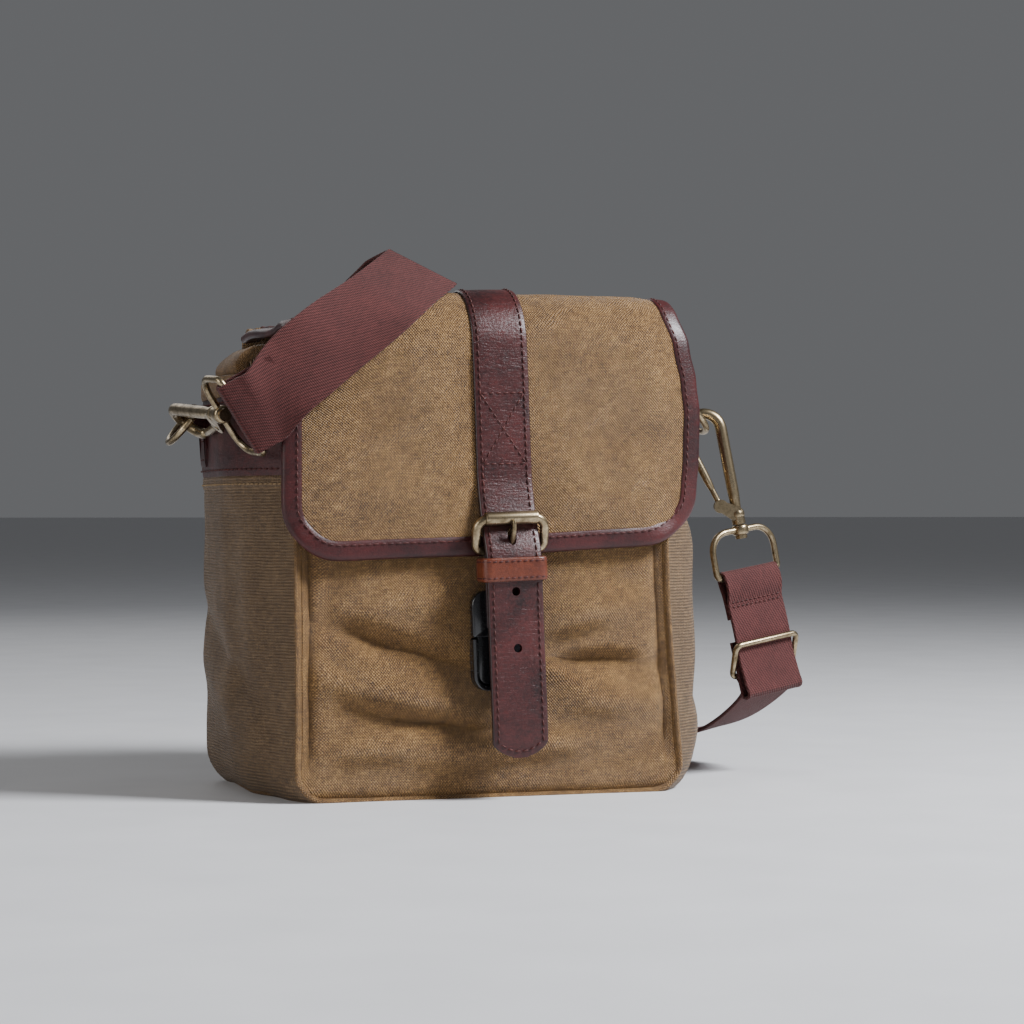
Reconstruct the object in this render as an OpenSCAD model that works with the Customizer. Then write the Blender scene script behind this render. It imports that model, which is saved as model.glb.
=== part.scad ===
// Small canvas camera bag with a leather-bound flap, a buckled closure strap and a
// webbing shoulder strap on two swivel snap hooks. Millimetres.
// The origin is the centre of the base, on the ground. +Z is up, the front faces -Y.

/* [Bag body] */
// Width of the front panel between its side seams
front_w = 185; // [182:1:188]
// Half of the widest width, across the bulging gussets
half_w = 119; // [118:0.5:119.5]
// Y of the front panel's outer face
front_y = -56; // [-57:0.5:-56]
// Y of the back panel's outer face
back_y = 66; // [64:1:68]
// Plan radius of the two rear corners
back_r = 22; // [18:1:24]
// Height of the front panel and of the gussets
side_h = 206; // [200:1:208]
// Height of the back panel
back_h = 231; // [226:1:232]
// Thickness of the canvas with its lining
wall = 2.6; // [2:0.1:3]
// Thickness of the padded liner
pad = 6; // [5:0.5:8]
// Thickness of a padded divider
divider_t = 8; // [6:0.5:10]
// Height of the dividers
divider_h = 150; // [120:1:160]

/* [Flap] */
// Width of the flap over its binding
flap_w = 204; // [196:1:208]
// Height of the flap's front edge above the ground
flap_z = 118; // [118:1:124]
// Thickness of the flap
flap_t = 3; // [2.5:0.1:3]
// Width of the leather binding
binding_w = 9; // [7:0.5:11]
// Radius of the flap's lower corners
flap_r = 28; // [22:1:34]
// Height of the flap's crown
crown_z = 246; // [245:0.5:248]

/* [Closure] */
// Width of the leather closure strap
strap_w = 28; // [26:0.5:28.5]
// Thickness of the closure strap
strap_t = 3.2; // [2.8:0.1:3.2]
// Height of the strap's tip above the ground
tip_z = 21; // [18:1:30]
// Sideways lean of the strap, degrees
lean = 2.1; // [1:0.1:2.5]
// Width of the quick-release clip
clip_w = 33; // [32:0.5:35]

/* [Shoulder strap] */
// Width of the webbing
web_w = 38; // [36:0.5:38.5]
// Thickness of one layer of webbing
web_t = 1.7; // [1.4:0.1:1.7]
// Radius of the ring and eye wire
wire_r = 1.75; // [1.5:0.05:1.8]

/* [Hidden] */
$fn = 48;

canvas = [0.52, 0.40, 0.24];
lining = [0.30, 0.24, 0.18];
leather = [0.30, 0.12, 0.12];
tan_leather = [0.48, 0.22, 0.13];
brass = [0.60, 0.50, 0.33];
webbing = [0.38, 0.16, 0.16];
black = [0.05, 0.05, 0.05];

fit = 0.05;                     // radial clearance of a running fit
knuckle = 1.06;                 // a bar's round ends are a little fuller than the bar
gap = 0.3;                      // clearance between neighbouring pieces
bulge = half_w - front_w / 2;   // how far a gusset bulges past the front seam
hook_len = 52;                  // swivel to the centre of the hook's nose
hook_off = 10;                  // the nose's centre stands this far off the swivel axis
nose_r = 9.5;                   // radius of the nose's centre line
eye_len = 27;                   // swivel to the eye's webbing bar
eye_half = web_w / 2 + 2.2;     // eye axis to the centre of a leg
ring_half = 14;                 // half of the ring's straight bar
ring_leg = 6;                   // straight legs between the bar and the arc

// Hinge of the flap, along X
hinge_y = 61;

// Shoulder of the flap's side profile: an arc between the sloping top and the upright front
top_slope = 6;
flap_arc_r = 25;
flap_front_y = front_y - 5.7;
flap_arc_y = flap_front_y + flap_arc_r;
flap_arc_z = crown_z - flap_arc_r * cos(top_slope);

// Buckle, before the strap's lean
heel_y = -69;
heel_z = 121.5;
roller_y = -74.2;
roller_z = 137;
bar_r = 1.8;
roller_r = 3;
prong_r = 1.2;
prong_bend = [-79, 133];
tail_y = -76.2;                 // centre of the hanging tail
tail_holes = [101.5, 74];

// Left chain: eye bar centre, direction from the bar to the nose, side of the spine
left_bar = [-121.5, -62, 185];
left_axis = [-0.248, 0.965, 0.086];
left_spine = [-0.78, 0, 0.62];
left_bar_dir = [0.588, 0, -0.809];
left_run = [0.70, -0.22, 0.66];
// Right chain, the same
right_bar = [163.5, 2.5, 107];
right_axis = [-0.170, 0.050, 0.984];
right_spine = [0.956, -0.292, 0];
right_bar_dir = [0.93, 0.30, 0.16];
right_run = [0.30, -0.05, -0.95];
// Direction of each D-ring away from its bar
left_ring_dir = [-0.62, 0, -0.78];
right_ring_dir = [0.70, 0, -0.71];

function unit(v) = v / norm(v);
function square_to(v, axis) = unit(v - (v * unit(axis)) * unit(axis));
function reversed(list) = [for (k = [len(list) - 1:-1:0]) list[k]];

// Centre of the hook's nose for a chain
function nose(bar, axis, spine) =
    bar + (eye_len + hook_len) * unit(axis) - hook_off * square_to(spine, axis);

left_nose = nose(left_bar, left_axis, left_spine);
right_nose = nose(right_bar, right_axis, right_spine);
// The left hook holds the ring's front leg, the right hook the middle of its arc
left_ring = left_nose + [0, ring_half, 0] - 7 * unit(left_ring_dir);
right_ring = right_nose - (ring_half + ring_leg) * unit(right_ring_dir);

// Edges of the webbing's front run, [upper edge, lower edge], from the eye to the rear of the flap
front_run = [
    [[-123.7, -68.5, 207.7], [-103.2, -61, 177.6]],
    [[-112, -67.5, 219], [-89, -70, 189]],
    [[-95, -65, 236], [-66, -69.5, 207]],
    [[-71, -50, 253], [-40, -68, 227]],
    [[-58, -38, 262.5], [-24, -59, 239.5]],
    [[-45, -26, 272], [-8, -45, 250.5]],
    [[-46.5, -19, 270.5], [-10, -36, 250.5]],
    [[-52, -1, 262], [-17, -4, 251]],
    [[-60, 22, 251.5], [-24, 24, 247]],
    [[-65, 42, 246], [-28, 44, 245]]
];
// Edges of the hidden run, down the back, folded on the ground and up to the slider
back_run = [
    [[-69, 76, 231], [-31, 78, 230]],
    [[-69, 80, 200], [-31, 81, 200]],
    [[-68, 83, 140], [-30, 83, 140]],
    [[-67, 83, 80], [-29, 83, 80]],
    [[-67, 85, 34], [-29, 85, 34]],
    [[-67, 91, 14], [-29, 91, 14]],
    [[-67, 102, 4], [-29, 106, 4]],
    [[-67, 106, 2], [-29, 141, 2]],
    [[-64, 106, 5], [-27, 141, 5]],
    [[-36, 104, 7], [-22, 142, 7]],
    [[10, 103, 3], [10, 141, 3]],
    [[70, 100, 3], [70, 138, 3]],
    [[112, 86, 6], [126, 122, 6]],
    [[136, 56, 14], [160, 86, 16]],
    [[150, 28, 24], [182, 48, 27]],
    [[166, -4, 36], [197, 16, 44]]
];

// Plan outline of the bag, drawn in by inset all round
function side_curve(inset) = concat(
    [for (k = [0:6]) let (t = k / 6)
        [front_w / 2 - inset + bulge * sin(90 * t), front_y + inset - t * (front_y + inset)]],
    [for (k = [0:5]) let (a = 18 * k)
        [half_w - back_r + (back_r - inset) * cos(a), back_y - back_r + (back_r - inset) * sin(a)]]
);
function outline(inset) = concat(
    side_curve(inset),
    [for (p = reversed(side_curve(inset))) [-p.x, p.y]]
);

// Miter-offset copy of a line of points, to its left for a positive distance
function line_normal(a, b) = let (d = unit(b - a)) [-d.y, d.x];
function miter(pts, k, distance) =
    let (
        before = k == 0 ? line_normal(pts[0], pts[1]) : line_normal(pts[k - 1], pts[k]),
        after = k == len(pts) - 1 ? before : line_normal(pts[k], pts[k + 1]),
        mid = unit(before + after)
    )
    pts[k] + mid * distance / (mid * before);
function band(pts, left, right) = concat(
    [for (k = [0:len(pts) - 1]) miter(pts, k, left)],
    [for (k = [len(pts) - 1:-1:0]) miter(pts, k, right)]
);

// Side line of the flap's outer face, from the hinge over the shoulder to a height on the front
function flap_line(bottom) = concat(
    [[hinge_y - 4, crown_z - (hinge_y - 4 - flap_arc_y) * tan(top_slope)]],
    [for (a = [90 - top_slope:12:186]) [flap_arc_y + flap_arc_r * cos(a), flap_arc_z + flap_arc_r * sin(a)]],
    [[flap_front_y, bottom]]
);
// Side line of the closure strap's middle, from the rear of the flap to the tip
strap_line = concat(
    [for (p = reversed([for (k = [1:len(flap_line(158)) - 2]) flap_line(158)[len(flap_line(158)) - 1 - k]]))
        let (out = unit([p.x - flap_arc_y, p.y - flap_arc_z])) p + out * (strap_t / 2 + 0.2 + 0.7 * out.y)],
    [
        [flap_front_y - strap_t / 2 - 0.2, 158], [-66, 146], [-68, 138.5],
        [-75.8, 120.5], [tail_y, 112], [tail_y, tip_z]
    ]
);

// Draw a shape so that its own Z follows zdir and its own X leans to xdir, at a point
module place(at, zdir, xdir) {
    z = unit(zdir);
    x = square_to(xdir, zdir);
    y = cross(z, x);
    multmatrix([[x.x, y.x, z.x, at.x], [x.y, y.y, z.y, at.y], [x.z, y.z, z.z, at.z], [0, 0, 0, 1]])
        children();
}

// Round bar between two points, with round ends
module bar(a, b, r) {
    place(a, b - a, abs(unit(b - a).x) > 0.9 ? [0, 1, 0] : [1, 0, 0])
        cylinder(h = norm(b - a), r = r);
    translate(a) sphere(r * knuckle);
    translate(b) sphere(r * knuckle);
}

// Extrude a [y, z] outline along X, centred on x = 0
module across(width, pts) {
    rotate([90, 0, 90])
        translate([0, 0, -width / 2])
            linear_extrude(height = width)
                polygon(pts);
}

// Extrude an [x, z] shape through the whole depth, along Y
module through_y(from, to) {
    translate([0, to, 0])
        rotate([90, 0, 0])
            linear_extrude(height = to - from)
                children();
}

// Everything on the closure strap leans with it
module leaning() {
    translate([4, 0, crown_z])
        rotate([0, -lean, 0])
            translate([0, 0, -crown_z])
                children();
}

module wall_ring(outer, inner, z0, z1) {
    translate([0, 0, z0])
        linear_extrude(height = z1 - z0)
            difference() {
                polygon(outline(outer));
                polygon(outline(inner));
            }
}

// ---- Bag body ----

module front_panel() {
    color(canvas)
        intersection() {
            wall_ring(0, wall, 0, side_h);
            translate([-half_w, front_y - 1, 0]) cube([2 * half_w, wall + 1, side_h]);
        }
}

back_half = half_w - back_r - 1;    // half of the back panel's width
module back_panel() {
    color(canvas)
        translate([-back_half, back_y - wall, 0])
            cube([2 * back_half, wall, back_h]);
}

module gusset(side) {
    seam = 0.05;
    color(canvas)
        intersection() {
            wall_ring(0, wall, 0, side_h);
            translate([side > 0 ? back_half + seam : -back_half - seam - 50, front_y + 20, -1])
                cube([50, 200, side_h + 2]);
        }
    color(canvas)
        intersection() {
            wall_ring(0, wall, 0, side_h);
            translate([side > 0 ? 60 : -160, front_y + wall + seam, -1])
                cube([100, 30, side_h + 2]);
        }
}

module base_panel() {
    color(canvas)
        linear_extrude(height = wall)
            polygon(outline(wall + 0.1));
}

module padded_liner() {
    color(lining)
        difference() {
            translate([0, 0, wall + 0.1])
                linear_extrude(height = 186)
                    polygon(outline(wall + 0.2));
            translate([0, 0, wall + pad])
                linear_extrude(height = 200)
                    polygon(outline(wall + 0.2 + pad));
        }
}

divider_x = 34;
liner_reach = wall + 0.2 + pad + 0.4;
module divider(x) {
    color(lining)
        translate([x - divider_t / 2, front_y + liner_reach, wall + pad + 0.3])
            cube([divider_t, back_y - front_y - 2 * liner_reach, divider_h]);
}

// Folded canvas wing that closes the top corner of a gusset
module ear(side) {
    ear_outline = [[98, 0], [116, 0], [118, 6], [112, 14], [98, 16]];
    color(canvas)
        mirror([side > 0 ? 0 : 1, 0, 0])
            translate([0, 40, side_h + gap])
                rotate([90, 0, 0])
                    linear_extrude(height = 62)
                        polygon(ear_outline);
}

module side_patch(side) {
    x_from = side > 0 ? 60 : -60 - 2 * half_w;
    color(leather)
        intersection() {
            wall_ring(-1.6, -0.05, 158, 197);
            translate([x_from, front_y + 6, 150]) cube([2 * half_w, back_y - front_y - 16, 60]);
        }
}

// Leather tab folded round a D-ring's bar
module ring_tab(side, ring, tab_w) {
    inner_x = half_w + 1.65;
    reach = abs(ring.x) - inner_x + 0.7;
    color(leather)
        difference() {
            union() {
                translate([ring.x, ring.y + tab_w / 2, ring.z]) rotate([90, 0, 0]) cylinder(h = tab_w, r = 4);
                translate([side > 0 ? inner_x : ring.x - 0.7, ring.y - tab_w / 2 + 0.1, 164])
                    cube([reach, tab_w - 0.2, ring.z - 163.5]);
            }
            translate([ring.x, ring.y + tab_w, ring.z])
                rotate([90, 0, 0])
                    cylinder(h = 2 * tab_w, r = wire_r + fit);
        }
}

module anchor_tab() {
    color(leather)
        leaning()
            through_y(front_y - 2.2, front_y - 0.1) {
                translate([-13, 46]) square([26, 60]);
            }
}

// Lower half of the clip: a plate with a rim round its bottom and sides
clip_z0 = 53;
clip_split = 79;
clip_z1 = 102;
clip_shift = 2.5;               // how far the clip sits left of the strap's middle
module clip_outline(inset) {
    r = 7;
    translate([-clip_w / 2 + inset, clip_z0 + r]) square([clip_w - 2 * inset, clip_split - clip_z0 - r]);
    translate([-clip_w / 2 + r, clip_z0 + inset]) square([clip_w - 2 * r, r]);
    for (s = [-1, 1]) {
        translate([s * (clip_w / 2 - r), clip_z0 + r]) circle(r - inset);
    }
}
module clip_base() {
    color(black)
        leaning() translate([-clip_shift, 0, 0]) {
            through_y(-60.4, front_y - 2.4) clip_outline(0);
            through_y(-66, -60.4) {
                difference() {
                    clip_outline(0);
                    clip_outline(2.4);
                    translate([-clip_w / 2 + 2.4, clip_split - 10]) square([clip_w - 4.8, 20]);
                }
            }
        }
}

module clip_top() {
    color(black)
        leaning() translate([-clip_shift, 0, 0]) {
            through_y(-66, -60.7)
                difference() {
                    translate([-clip_w / 2 + 2.7, clip_z0 + 7])
                        square([clip_w - 5.4, clip_split - clip_z0 - 7]);
                    translate([-5, clip_z0 + 6]) square([10, 14]);
                }
            through_y(-66, -60.4) {
                translate([-clip_w / 2, clip_split + gap]) square([clip_w, clip_z1 - clip_split - gap - 7]);
                translate([-clip_w / 2 + 7, clip_z1 - 8]) square([clip_w - 14, 8]);
                for (s = [-1, 1]) translate([s * (clip_w / 2 - 7), clip_z1 - 7]) circle(7);
            }
        }
}

// ---- Flap and closure ----

// Front view of the flap's outline, drawn in by inset
module flap_front(inset) {
    r = flap_r - inset;
    half = flap_w / 2 - inset;
    bottom = flap_z + inset;
    translate([-half, bottom + r]) square([2 * half, 200]);
    translate([-half + r, bottom]) square([2 * (half - r), r + 1]);
    for (s = [-1, 1]) translate([s * (half - r), bottom + r]) circle(r);
}

module flap_shell() {
    color(canvas)
        intersection() {
            across(flap_w, band(flap_line(flap_z - 1), 0, flap_t));
            through_y(-90, 90) flap_front(binding_w);
        }
}

module flap_binding() {
    color(leather)
        intersection() {
            across(flap_w, band(flap_line(flap_z - 1), -0.8, flap_t));
            through_y(-90, 90)
                difference() {
                    flap_front(0);
                    flap_front(binding_w);
                }
        }
}

module closure_strap() {
    tip_r = strap_w / 2 + 4;
    color(leather)
        leaning()
            difference() {
                intersection() {
                    across(strap_w, band(strap_line, strap_t / 2, -strap_t / 2));
                    through_y(-100, 100) {
                        translate([-strap_w, tip_z + 14]) square([2 * strap_w, 300]);
                        translate([0, tip_z + tip_r]) circle(tip_r);
                    }
                }
                for (z = tail_holes)
                    translate([0, tail_y + 5, z]) rotate([90, 0, 0]) cylinder(h = 10, r = 2.2);
                bar([0, -69, 121.2], [0, prong_bend.x - 2, prong_bend.y + 2.4], 2.1);
            }
}

// Leather loop from the buckle's heel bar down to the clip
module clip_chape() {
    color(leather)
        leaning()
            difference() {
                union() {
                    translate([-12, heel_y, heel_z]) rotate([0, 90, 0]) cylinder(h = 24, r = bar_r + 2);
                    translate([-12, -70.4, 84]) cube([24, 4, heel_z - 84]);
                }
                translate([-20, heel_y, heel_z]) rotate([0, 90, 0]) cylinder(h = 40, r = bar_r + fit);
                translate([-2.8, -80, heel_z - 5]) cube([5.6, 20, 12]);
            }
}

module strap_keeper() {
    color(tan_leather)
        leaning()
            translate([0, 0, 106.5])
                linear_extrude(height = 11.5)
                    difference() {
                        translate([-16.5, -80.2]) square([33, 15.6]);
                        translate([-14.4, -78.2]) square([28.8, 12.2]);
                    }
}

frame_half = 17.2;
module buckle_frame() {
    color(brass)
        leaning() {
            bar([-frame_half, roller_y, roller_z], [frame_half, roller_y, roller_z], bar_r);
            bar([-frame_half, heel_y, heel_z], [frame_half, heel_y, heel_z], bar_r);
            for (s = [-1, 1])
                bar([s * frame_half, heel_y, heel_z], [s * frame_half, roller_y, roller_z], bar_r);
        }
}

module buckle_roller() {
    color(brass)
        leaning()
            translate([-13, roller_y, roller_z])
                rotate([0, 90, 0])
                    difference() {
                        cylinder(h = 26, r = roller_r);
                        translate([0, 0, -1]) cylinder(h = 28, r = bar_r + fit);
                    }
}

module buckle_prong() {
    color(brass)
        leaning()
            difference() {
                union() {
                    translate([-2.2, heel_y, heel_z]) rotate([0, 90, 0]) cylinder(h = 4.4, r = bar_r + 1.4);
                    bar([0, heel_y - 2, heel_z + 2], [0, prong_bend.x, prong_bend.y], prong_r);
                    bar([0, prong_bend.x, prong_bend.y], [0, prong_bend.x, roller_z + 3], prong_r);
                }
                translate([-3, heel_y, heel_z]) rotate([0, 90, 0]) cylinder(h = 6, r = bar_r + fit);
            }
}

// ---- Shoulder strap hardware ----

module d_ring(at, dir) {
    color(brass)
        place(at, -dir, [0, 1, 0]) {
            bar([-ring_half, 0, 0], [ring_half, 0, 0], wire_r);
            for (s = [-1, 1])
                bar([s * ring_half, 0, 0], [s * ring_half, 0, -ring_leg], wire_r);
            translate([0, 0, -ring_leg])
                rotate([-90, 0, 0])
                    rotate_extrude(angle = 180)
                        translate([ring_half, 0])
                            circle(wire_r);
        }
}

gate_pivot = [-8, 0, 11];
gate_tip = [-17.9, 0, 43.3];
pin_r = 1.2;
spine_r = 2.4;
stem_r = 2;

// Hook in its own frame: swivel at the origin, nose up +Z, opening towards -X
module hook_body(bar, axis, spine) {
    color(brass)
        place(bar + eye_len * unit(axis), axis, spine) {
            bar([0, 0, 6], [nose_r - hook_off, 0, hook_len], spine_r);
            translate([-hook_off, 0, hook_len])
                rotate([90, 0, 0])
                    rotate_extrude(angle = 200)
                        translate([nose_r, 0])
                            circle(spine_r);
            translate([-hook_off + nose_r * cos(200), 0, hook_len + nose_r * sin(200)])
                sphere(spine_r * knuckle);
            cylinder(h = 6, r = 3.6);
            translate([0, 0, 5.4]) sphere(3.9);
            translate([0, 0, -6.1]) cylinder(h = 7, r = stem_r);
            translate([0, 0, -7.8]) cylinder(h = 2, r = 3.2);
            difference() {
                for (s = [-1, 1])
                    translate([0, s * 2.6 + 0.7, 0])
                        rotate([90, 0, 0])
                            linear_extrude(height = 1.4) {
                                polygon([[2.2, 2.5], [2.2, 9], [-7.2, 13.8], [-9.6, 8.8], [-3, 2.5]]);
                                translate([gate_pivot.x, gate_pivot.z]) circle(3.6);
                            }
                translate([gate_pivot.x, 5, gate_pivot.z]) rotate([90, 0, 0]) cylinder(h = 10, r = pin_r);
            }
        }
}

module hook_gate(bar, axis, spine) {
    color(brass)
        place(bar + eye_len * unit(axis), axis, spine)
            difference() {
                union() {
                    translate(gate_pivot + [0, 1.5, 0]) rotate([90, 0, 0]) cylinder(h = 3, r = 2.8);
                    bar(gate_pivot + [-1, 0, 3.2], gate_tip, 1.5);
                }
                translate(gate_pivot + [0, 4, 0]) rotate([90, 0, 0]) cylinder(h = 8, r = pin_r + fit);
            }
}

module gate_pin(bar, axis, spine) {
    color(brass)
        place(bar + eye_len * unit(axis), axis, spine)
            translate(gate_pivot + [0, 3.6, 0])
                rotate([90, 0, 0])
                    cylinder(h = 7.2, r = pin_r);
}

module swivel_eye(bar, axis, bar_dir) {
    color(brass)
        place(bar + eye_len * unit(axis), axis, bar_dir) {
            difference() {
                union() {
                    translate([0, 0, -5.6]) cylinder(h = 5.2, r = 4.2);
                    for (s = [-1, 1])
                        bar([s * 3.4, 0, -3], [s * eye_half, 0, -3], wire_r);
                }
                translate([0, 0, -8]) cylinder(h = 10, r = stem_r + fit);
            }
            for (s = [-1, 1])
                bar([s * eye_half, 0, -3], [s * eye_half, 0, -eye_len], wire_r);
            bar([-eye_half, 0, -eye_len], [eye_half, 0, -eye_len], wire_r);
        }
}

// Webbing folded round an eye's bar and sewn to itself
module webbing_end(bar, axis, bar_dir, run, length) {
    bar_line = square_to(bar_dir, axis);
    color(webbing)
        place(bar, square_to(run, bar_line), bar_line)
            difference() {
                union() {
                    rotate([0, 90, 0]) translate([0, 0, -web_w / 2])
                        cylinder(h = web_w, r = wire_r + fit + web_t);
                    translate([-web_w / 2, -web_t, 0]) cube([web_w, 2 * web_t, length]);
                }
                rotate([0, 90, 0]) translate([0, 0, -web_w]) cylinder(h = 2 * web_w, r = wire_r + fit);
            }
}

slider_at = 44;                 // eye bar to the slider's middle, along the webbing
slider_r = 1.5;
module strap_slider() {
    half = web_w / 2 + 2.2;
    off = web_t + gap + slider_r;
    bar_line = square_to(right_bar_dir, right_axis);
    color(brass)
        place(right_bar, square_to(right_run, bar_line), bar_line) {
            bar([-half, off, slider_at - 8], [half, off, slider_at - 8], slider_r);
            bar([-half, -off, slider_at + 8], [half, -off, slider_at + 8], slider_r);
            for (s = [-1, 1])
                bar([s * half, off, slider_at - 8], [s * half, -off, slider_at + 8], slider_r);
        }
}

// A flat strip through pairs of edge points, web_t thick
function strip_normal(run, k) =
    let (
        last = len(run) - 1,
        a = run[max(k - 1, 0)],
        b = run[min(k + 1, last)],
        along = (b[0] + b[1]) - (a[0] + a[1])
    )
    unit(cross(run[k][1] - run[k][0], along));
module strip(run) {
    last = len(run) - 1;
    half = web_t / 2;
    points = [for (k = [0:last]) let (n = strip_normal(run, k) * half)
        each [run[k][0] - n, run[k][1] - n, run[k][1] + n, run[k][0] + n]];
    sides = [for (k = [0:last - 1]) for (j = [0:3]) let (i = 4 * k + j, m = 4 * k + (j + 1) % 4)
        each [[i, i + 4, m + 4], [i, m + 4, m]]];
    ends = [
        [0, 1, 2], [0, 2, 3],
        [4 * last, 4 * last + 3, 4 * last + 2], [4 * last, 4 * last + 2, 4 * last + 1]
    ];
    polyhedron(points = points, faces = concat(sides, ends));
}

module webbing_front() {
    color(webbing) strip(front_run);
}

module webbing_back() {
    color(webbing) strip(back_run);
}

front_panel();
back_panel();
gusset(-1);  // gusset_left
gusset(1);  // gusset_right
base_panel();
padded_liner();
divider(-divider_x);  // divider_left
divider(divider_x);  // divider_right
ear(-1);  // ear_left
ear(1);  // ear_right
side_patch(-1);  // side_patch_left
side_patch(1);  // side_patch_right
ring_tab(-1, left_ring + [0, 5.6, 0], 13);  // ring_tab_left
ring_tab(1, right_ring, 22);  // ring_tab_right
anchor_tab();
clip_base();
clip_top();
clip_chape();
flap_shell();
flap_binding();
closure_strap();
strap_keeper();
buckle_frame();
buckle_roller();
buckle_prong();
d_ring(left_ring, left_ring_dir);  // d_ring_left
d_ring(right_ring, right_ring_dir);  // d_ring_right
hook_body(left_bar, left_axis, left_spine);  // hook_body_left
hook_body(right_bar, right_axis, right_spine);  // hook_body_right
hook_gate(left_bar, left_axis, left_spine);  // hook_gate_left
hook_gate(right_bar, right_axis, right_spine);  // hook_gate_right
gate_pin(left_bar, left_axis, left_spine);  // gate_pin_left
gate_pin(right_bar, right_axis, right_spine);  // gate_pin_right
swivel_eye(left_bar, left_axis, left_bar_dir);  // swivel_eye_left
swivel_eye(right_bar, right_axis, right_bar_dir);  // swivel_eye_right
strap_slider();
webbing_end(left_bar, left_axis, left_bar_dir, left_run, 9);  // webbing_end_left
webbing_end(right_bar, right_axis, right_bar_dir, right_run, 62);  // webbing_end_right
webbing_front();
webbing_back();
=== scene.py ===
from math import atan2, cos, exp, pi, radians, sin, sqrt, tan

import bmesh
import bpy
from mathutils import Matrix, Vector, noise


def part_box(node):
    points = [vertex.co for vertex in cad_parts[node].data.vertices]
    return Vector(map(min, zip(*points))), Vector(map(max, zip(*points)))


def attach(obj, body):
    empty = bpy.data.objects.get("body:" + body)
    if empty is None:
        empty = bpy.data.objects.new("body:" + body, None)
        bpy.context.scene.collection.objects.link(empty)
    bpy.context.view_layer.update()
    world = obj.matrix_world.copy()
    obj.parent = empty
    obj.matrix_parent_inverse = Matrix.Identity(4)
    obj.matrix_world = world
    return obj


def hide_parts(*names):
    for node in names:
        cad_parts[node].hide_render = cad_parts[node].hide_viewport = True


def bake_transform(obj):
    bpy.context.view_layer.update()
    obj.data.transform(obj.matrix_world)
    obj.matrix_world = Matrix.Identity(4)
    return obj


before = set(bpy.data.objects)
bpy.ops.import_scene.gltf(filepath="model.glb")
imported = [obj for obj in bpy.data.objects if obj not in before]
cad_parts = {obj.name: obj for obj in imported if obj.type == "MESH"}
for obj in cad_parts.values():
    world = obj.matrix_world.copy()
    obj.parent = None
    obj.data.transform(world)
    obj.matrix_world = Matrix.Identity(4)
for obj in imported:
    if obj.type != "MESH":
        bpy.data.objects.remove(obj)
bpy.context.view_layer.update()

# Lengths in this file are millimetres until a mesh is made.
MM = 0.001

# ---- Camera ----

camera_data = bpy.data.cameras.new("camera")
camera_data.lens = 85
camera_data.sensor_width = 36
camera = bpy.data.objects.new("camera", camera_data)
camera.location = (-0.3344, -1.1951, 0.140)
camera.rotation_euler = (radians(90), 0, radians(-17))
bpy.context.scene.collection.objects.link(camera)
bpy.context.scene.camera = camera


# ---- Numbers ----

def unit(v):
    return Vector(v).normalized()


def square_to(v, d):
    """Direction of v with what lies along the unit direction d taken out."""
    return unit(v - d * v.dot(d))


def mix(a, b, t):
    return a + (b - a) * t


def step(x, lo, hi):
    """Smooth step from 0 at lo to 1 at hi."""
    t = min(max((x - lo) / (hi - lo), 0.0), 1.0)
    return t * t * (3 - 2 * t)


def table(x, pairs):
    """Smooth value at x through (x, value) pairs in rising x."""
    if x <= pairs[0][0]:
        return pairs[0][1]
    for (x0, v0), (x1, v1) in zip(pairs, pairs[1:]):
        if x <= x1:
            return mix(v0, v1, step(x, x0, x1))
    return pairs[-1][1]


def spline(points, per_span):
    """Catmull-Rom curve through points, per_span steps between neighbours."""
    pts = [Vector(p) for p in points]
    ext = [2 * pts[0] - pts[1]] + pts + [2 * pts[-1] - pts[-2]]
    out = []
    for k in range(1, len(ext) - 2):
        p0, p1, p2, p3 = ext[k - 1:k + 3]
        for i in range(per_span):
            t = i / per_span
            out.append(0.5 * (2 * p1 + (p2 - p0) * t + (2 * p0 - 5 * p1 + 4 * p2 - p3) * t * t
                              + (3 * p1 - p0 - 3 * p2 + p3) * t * t * t))
    return out + [pts[-1]]


def resample(points, spacing, closed=False):
    """Points at an even spacing along a line of points."""
    pts = [Vector(p) for p in points]
    if closed:
        pts.append(pts[0])
    ends = [0.0]
    for a, b in zip(pts, pts[1:]):
        ends.append(ends[-1] + (b - a).length)
    count = max(2, round(ends[-1] / spacing))
    out, k = [], 0
    for i in range(count if closed else count + 1):
        s = ends[-1] * i / count
        while k < len(pts) - 2 and ends[k + 1] < s:
            k += 1
        span = ends[k + 1] - ends[k]
        out.append(pts[k].lerp(pts[k + 1], (s - ends[k]) / span if span else 0))
    return out


def rough(p, size, seed=0):
    """Smooth noise from -1 to 1 whose features are about size across."""
    return noise.noise(Vector((p[0] / size + 7.3 * seed, p[1] / size, p[2] / size)))


def oval(across, up, count):
    """Points of an ellipse with half widths across and up."""
    return [(across * cos(2 * pi * k / count), up * sin(2 * pi * k / count)) for k in range(count)]


def step_past(points, k, closed=False):
    """From the point before k to the one after it."""
    last = len(points) - 1
    before = k - 1 if closed else max(k - 1, 0)
    after = (k + 1) % len(points) if closed else min(k + 1, last)
    return points[after] - points[before]


def side_name(side):
    return "right" if side > 0 else "left"


# ---- Mesh making ----

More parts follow.
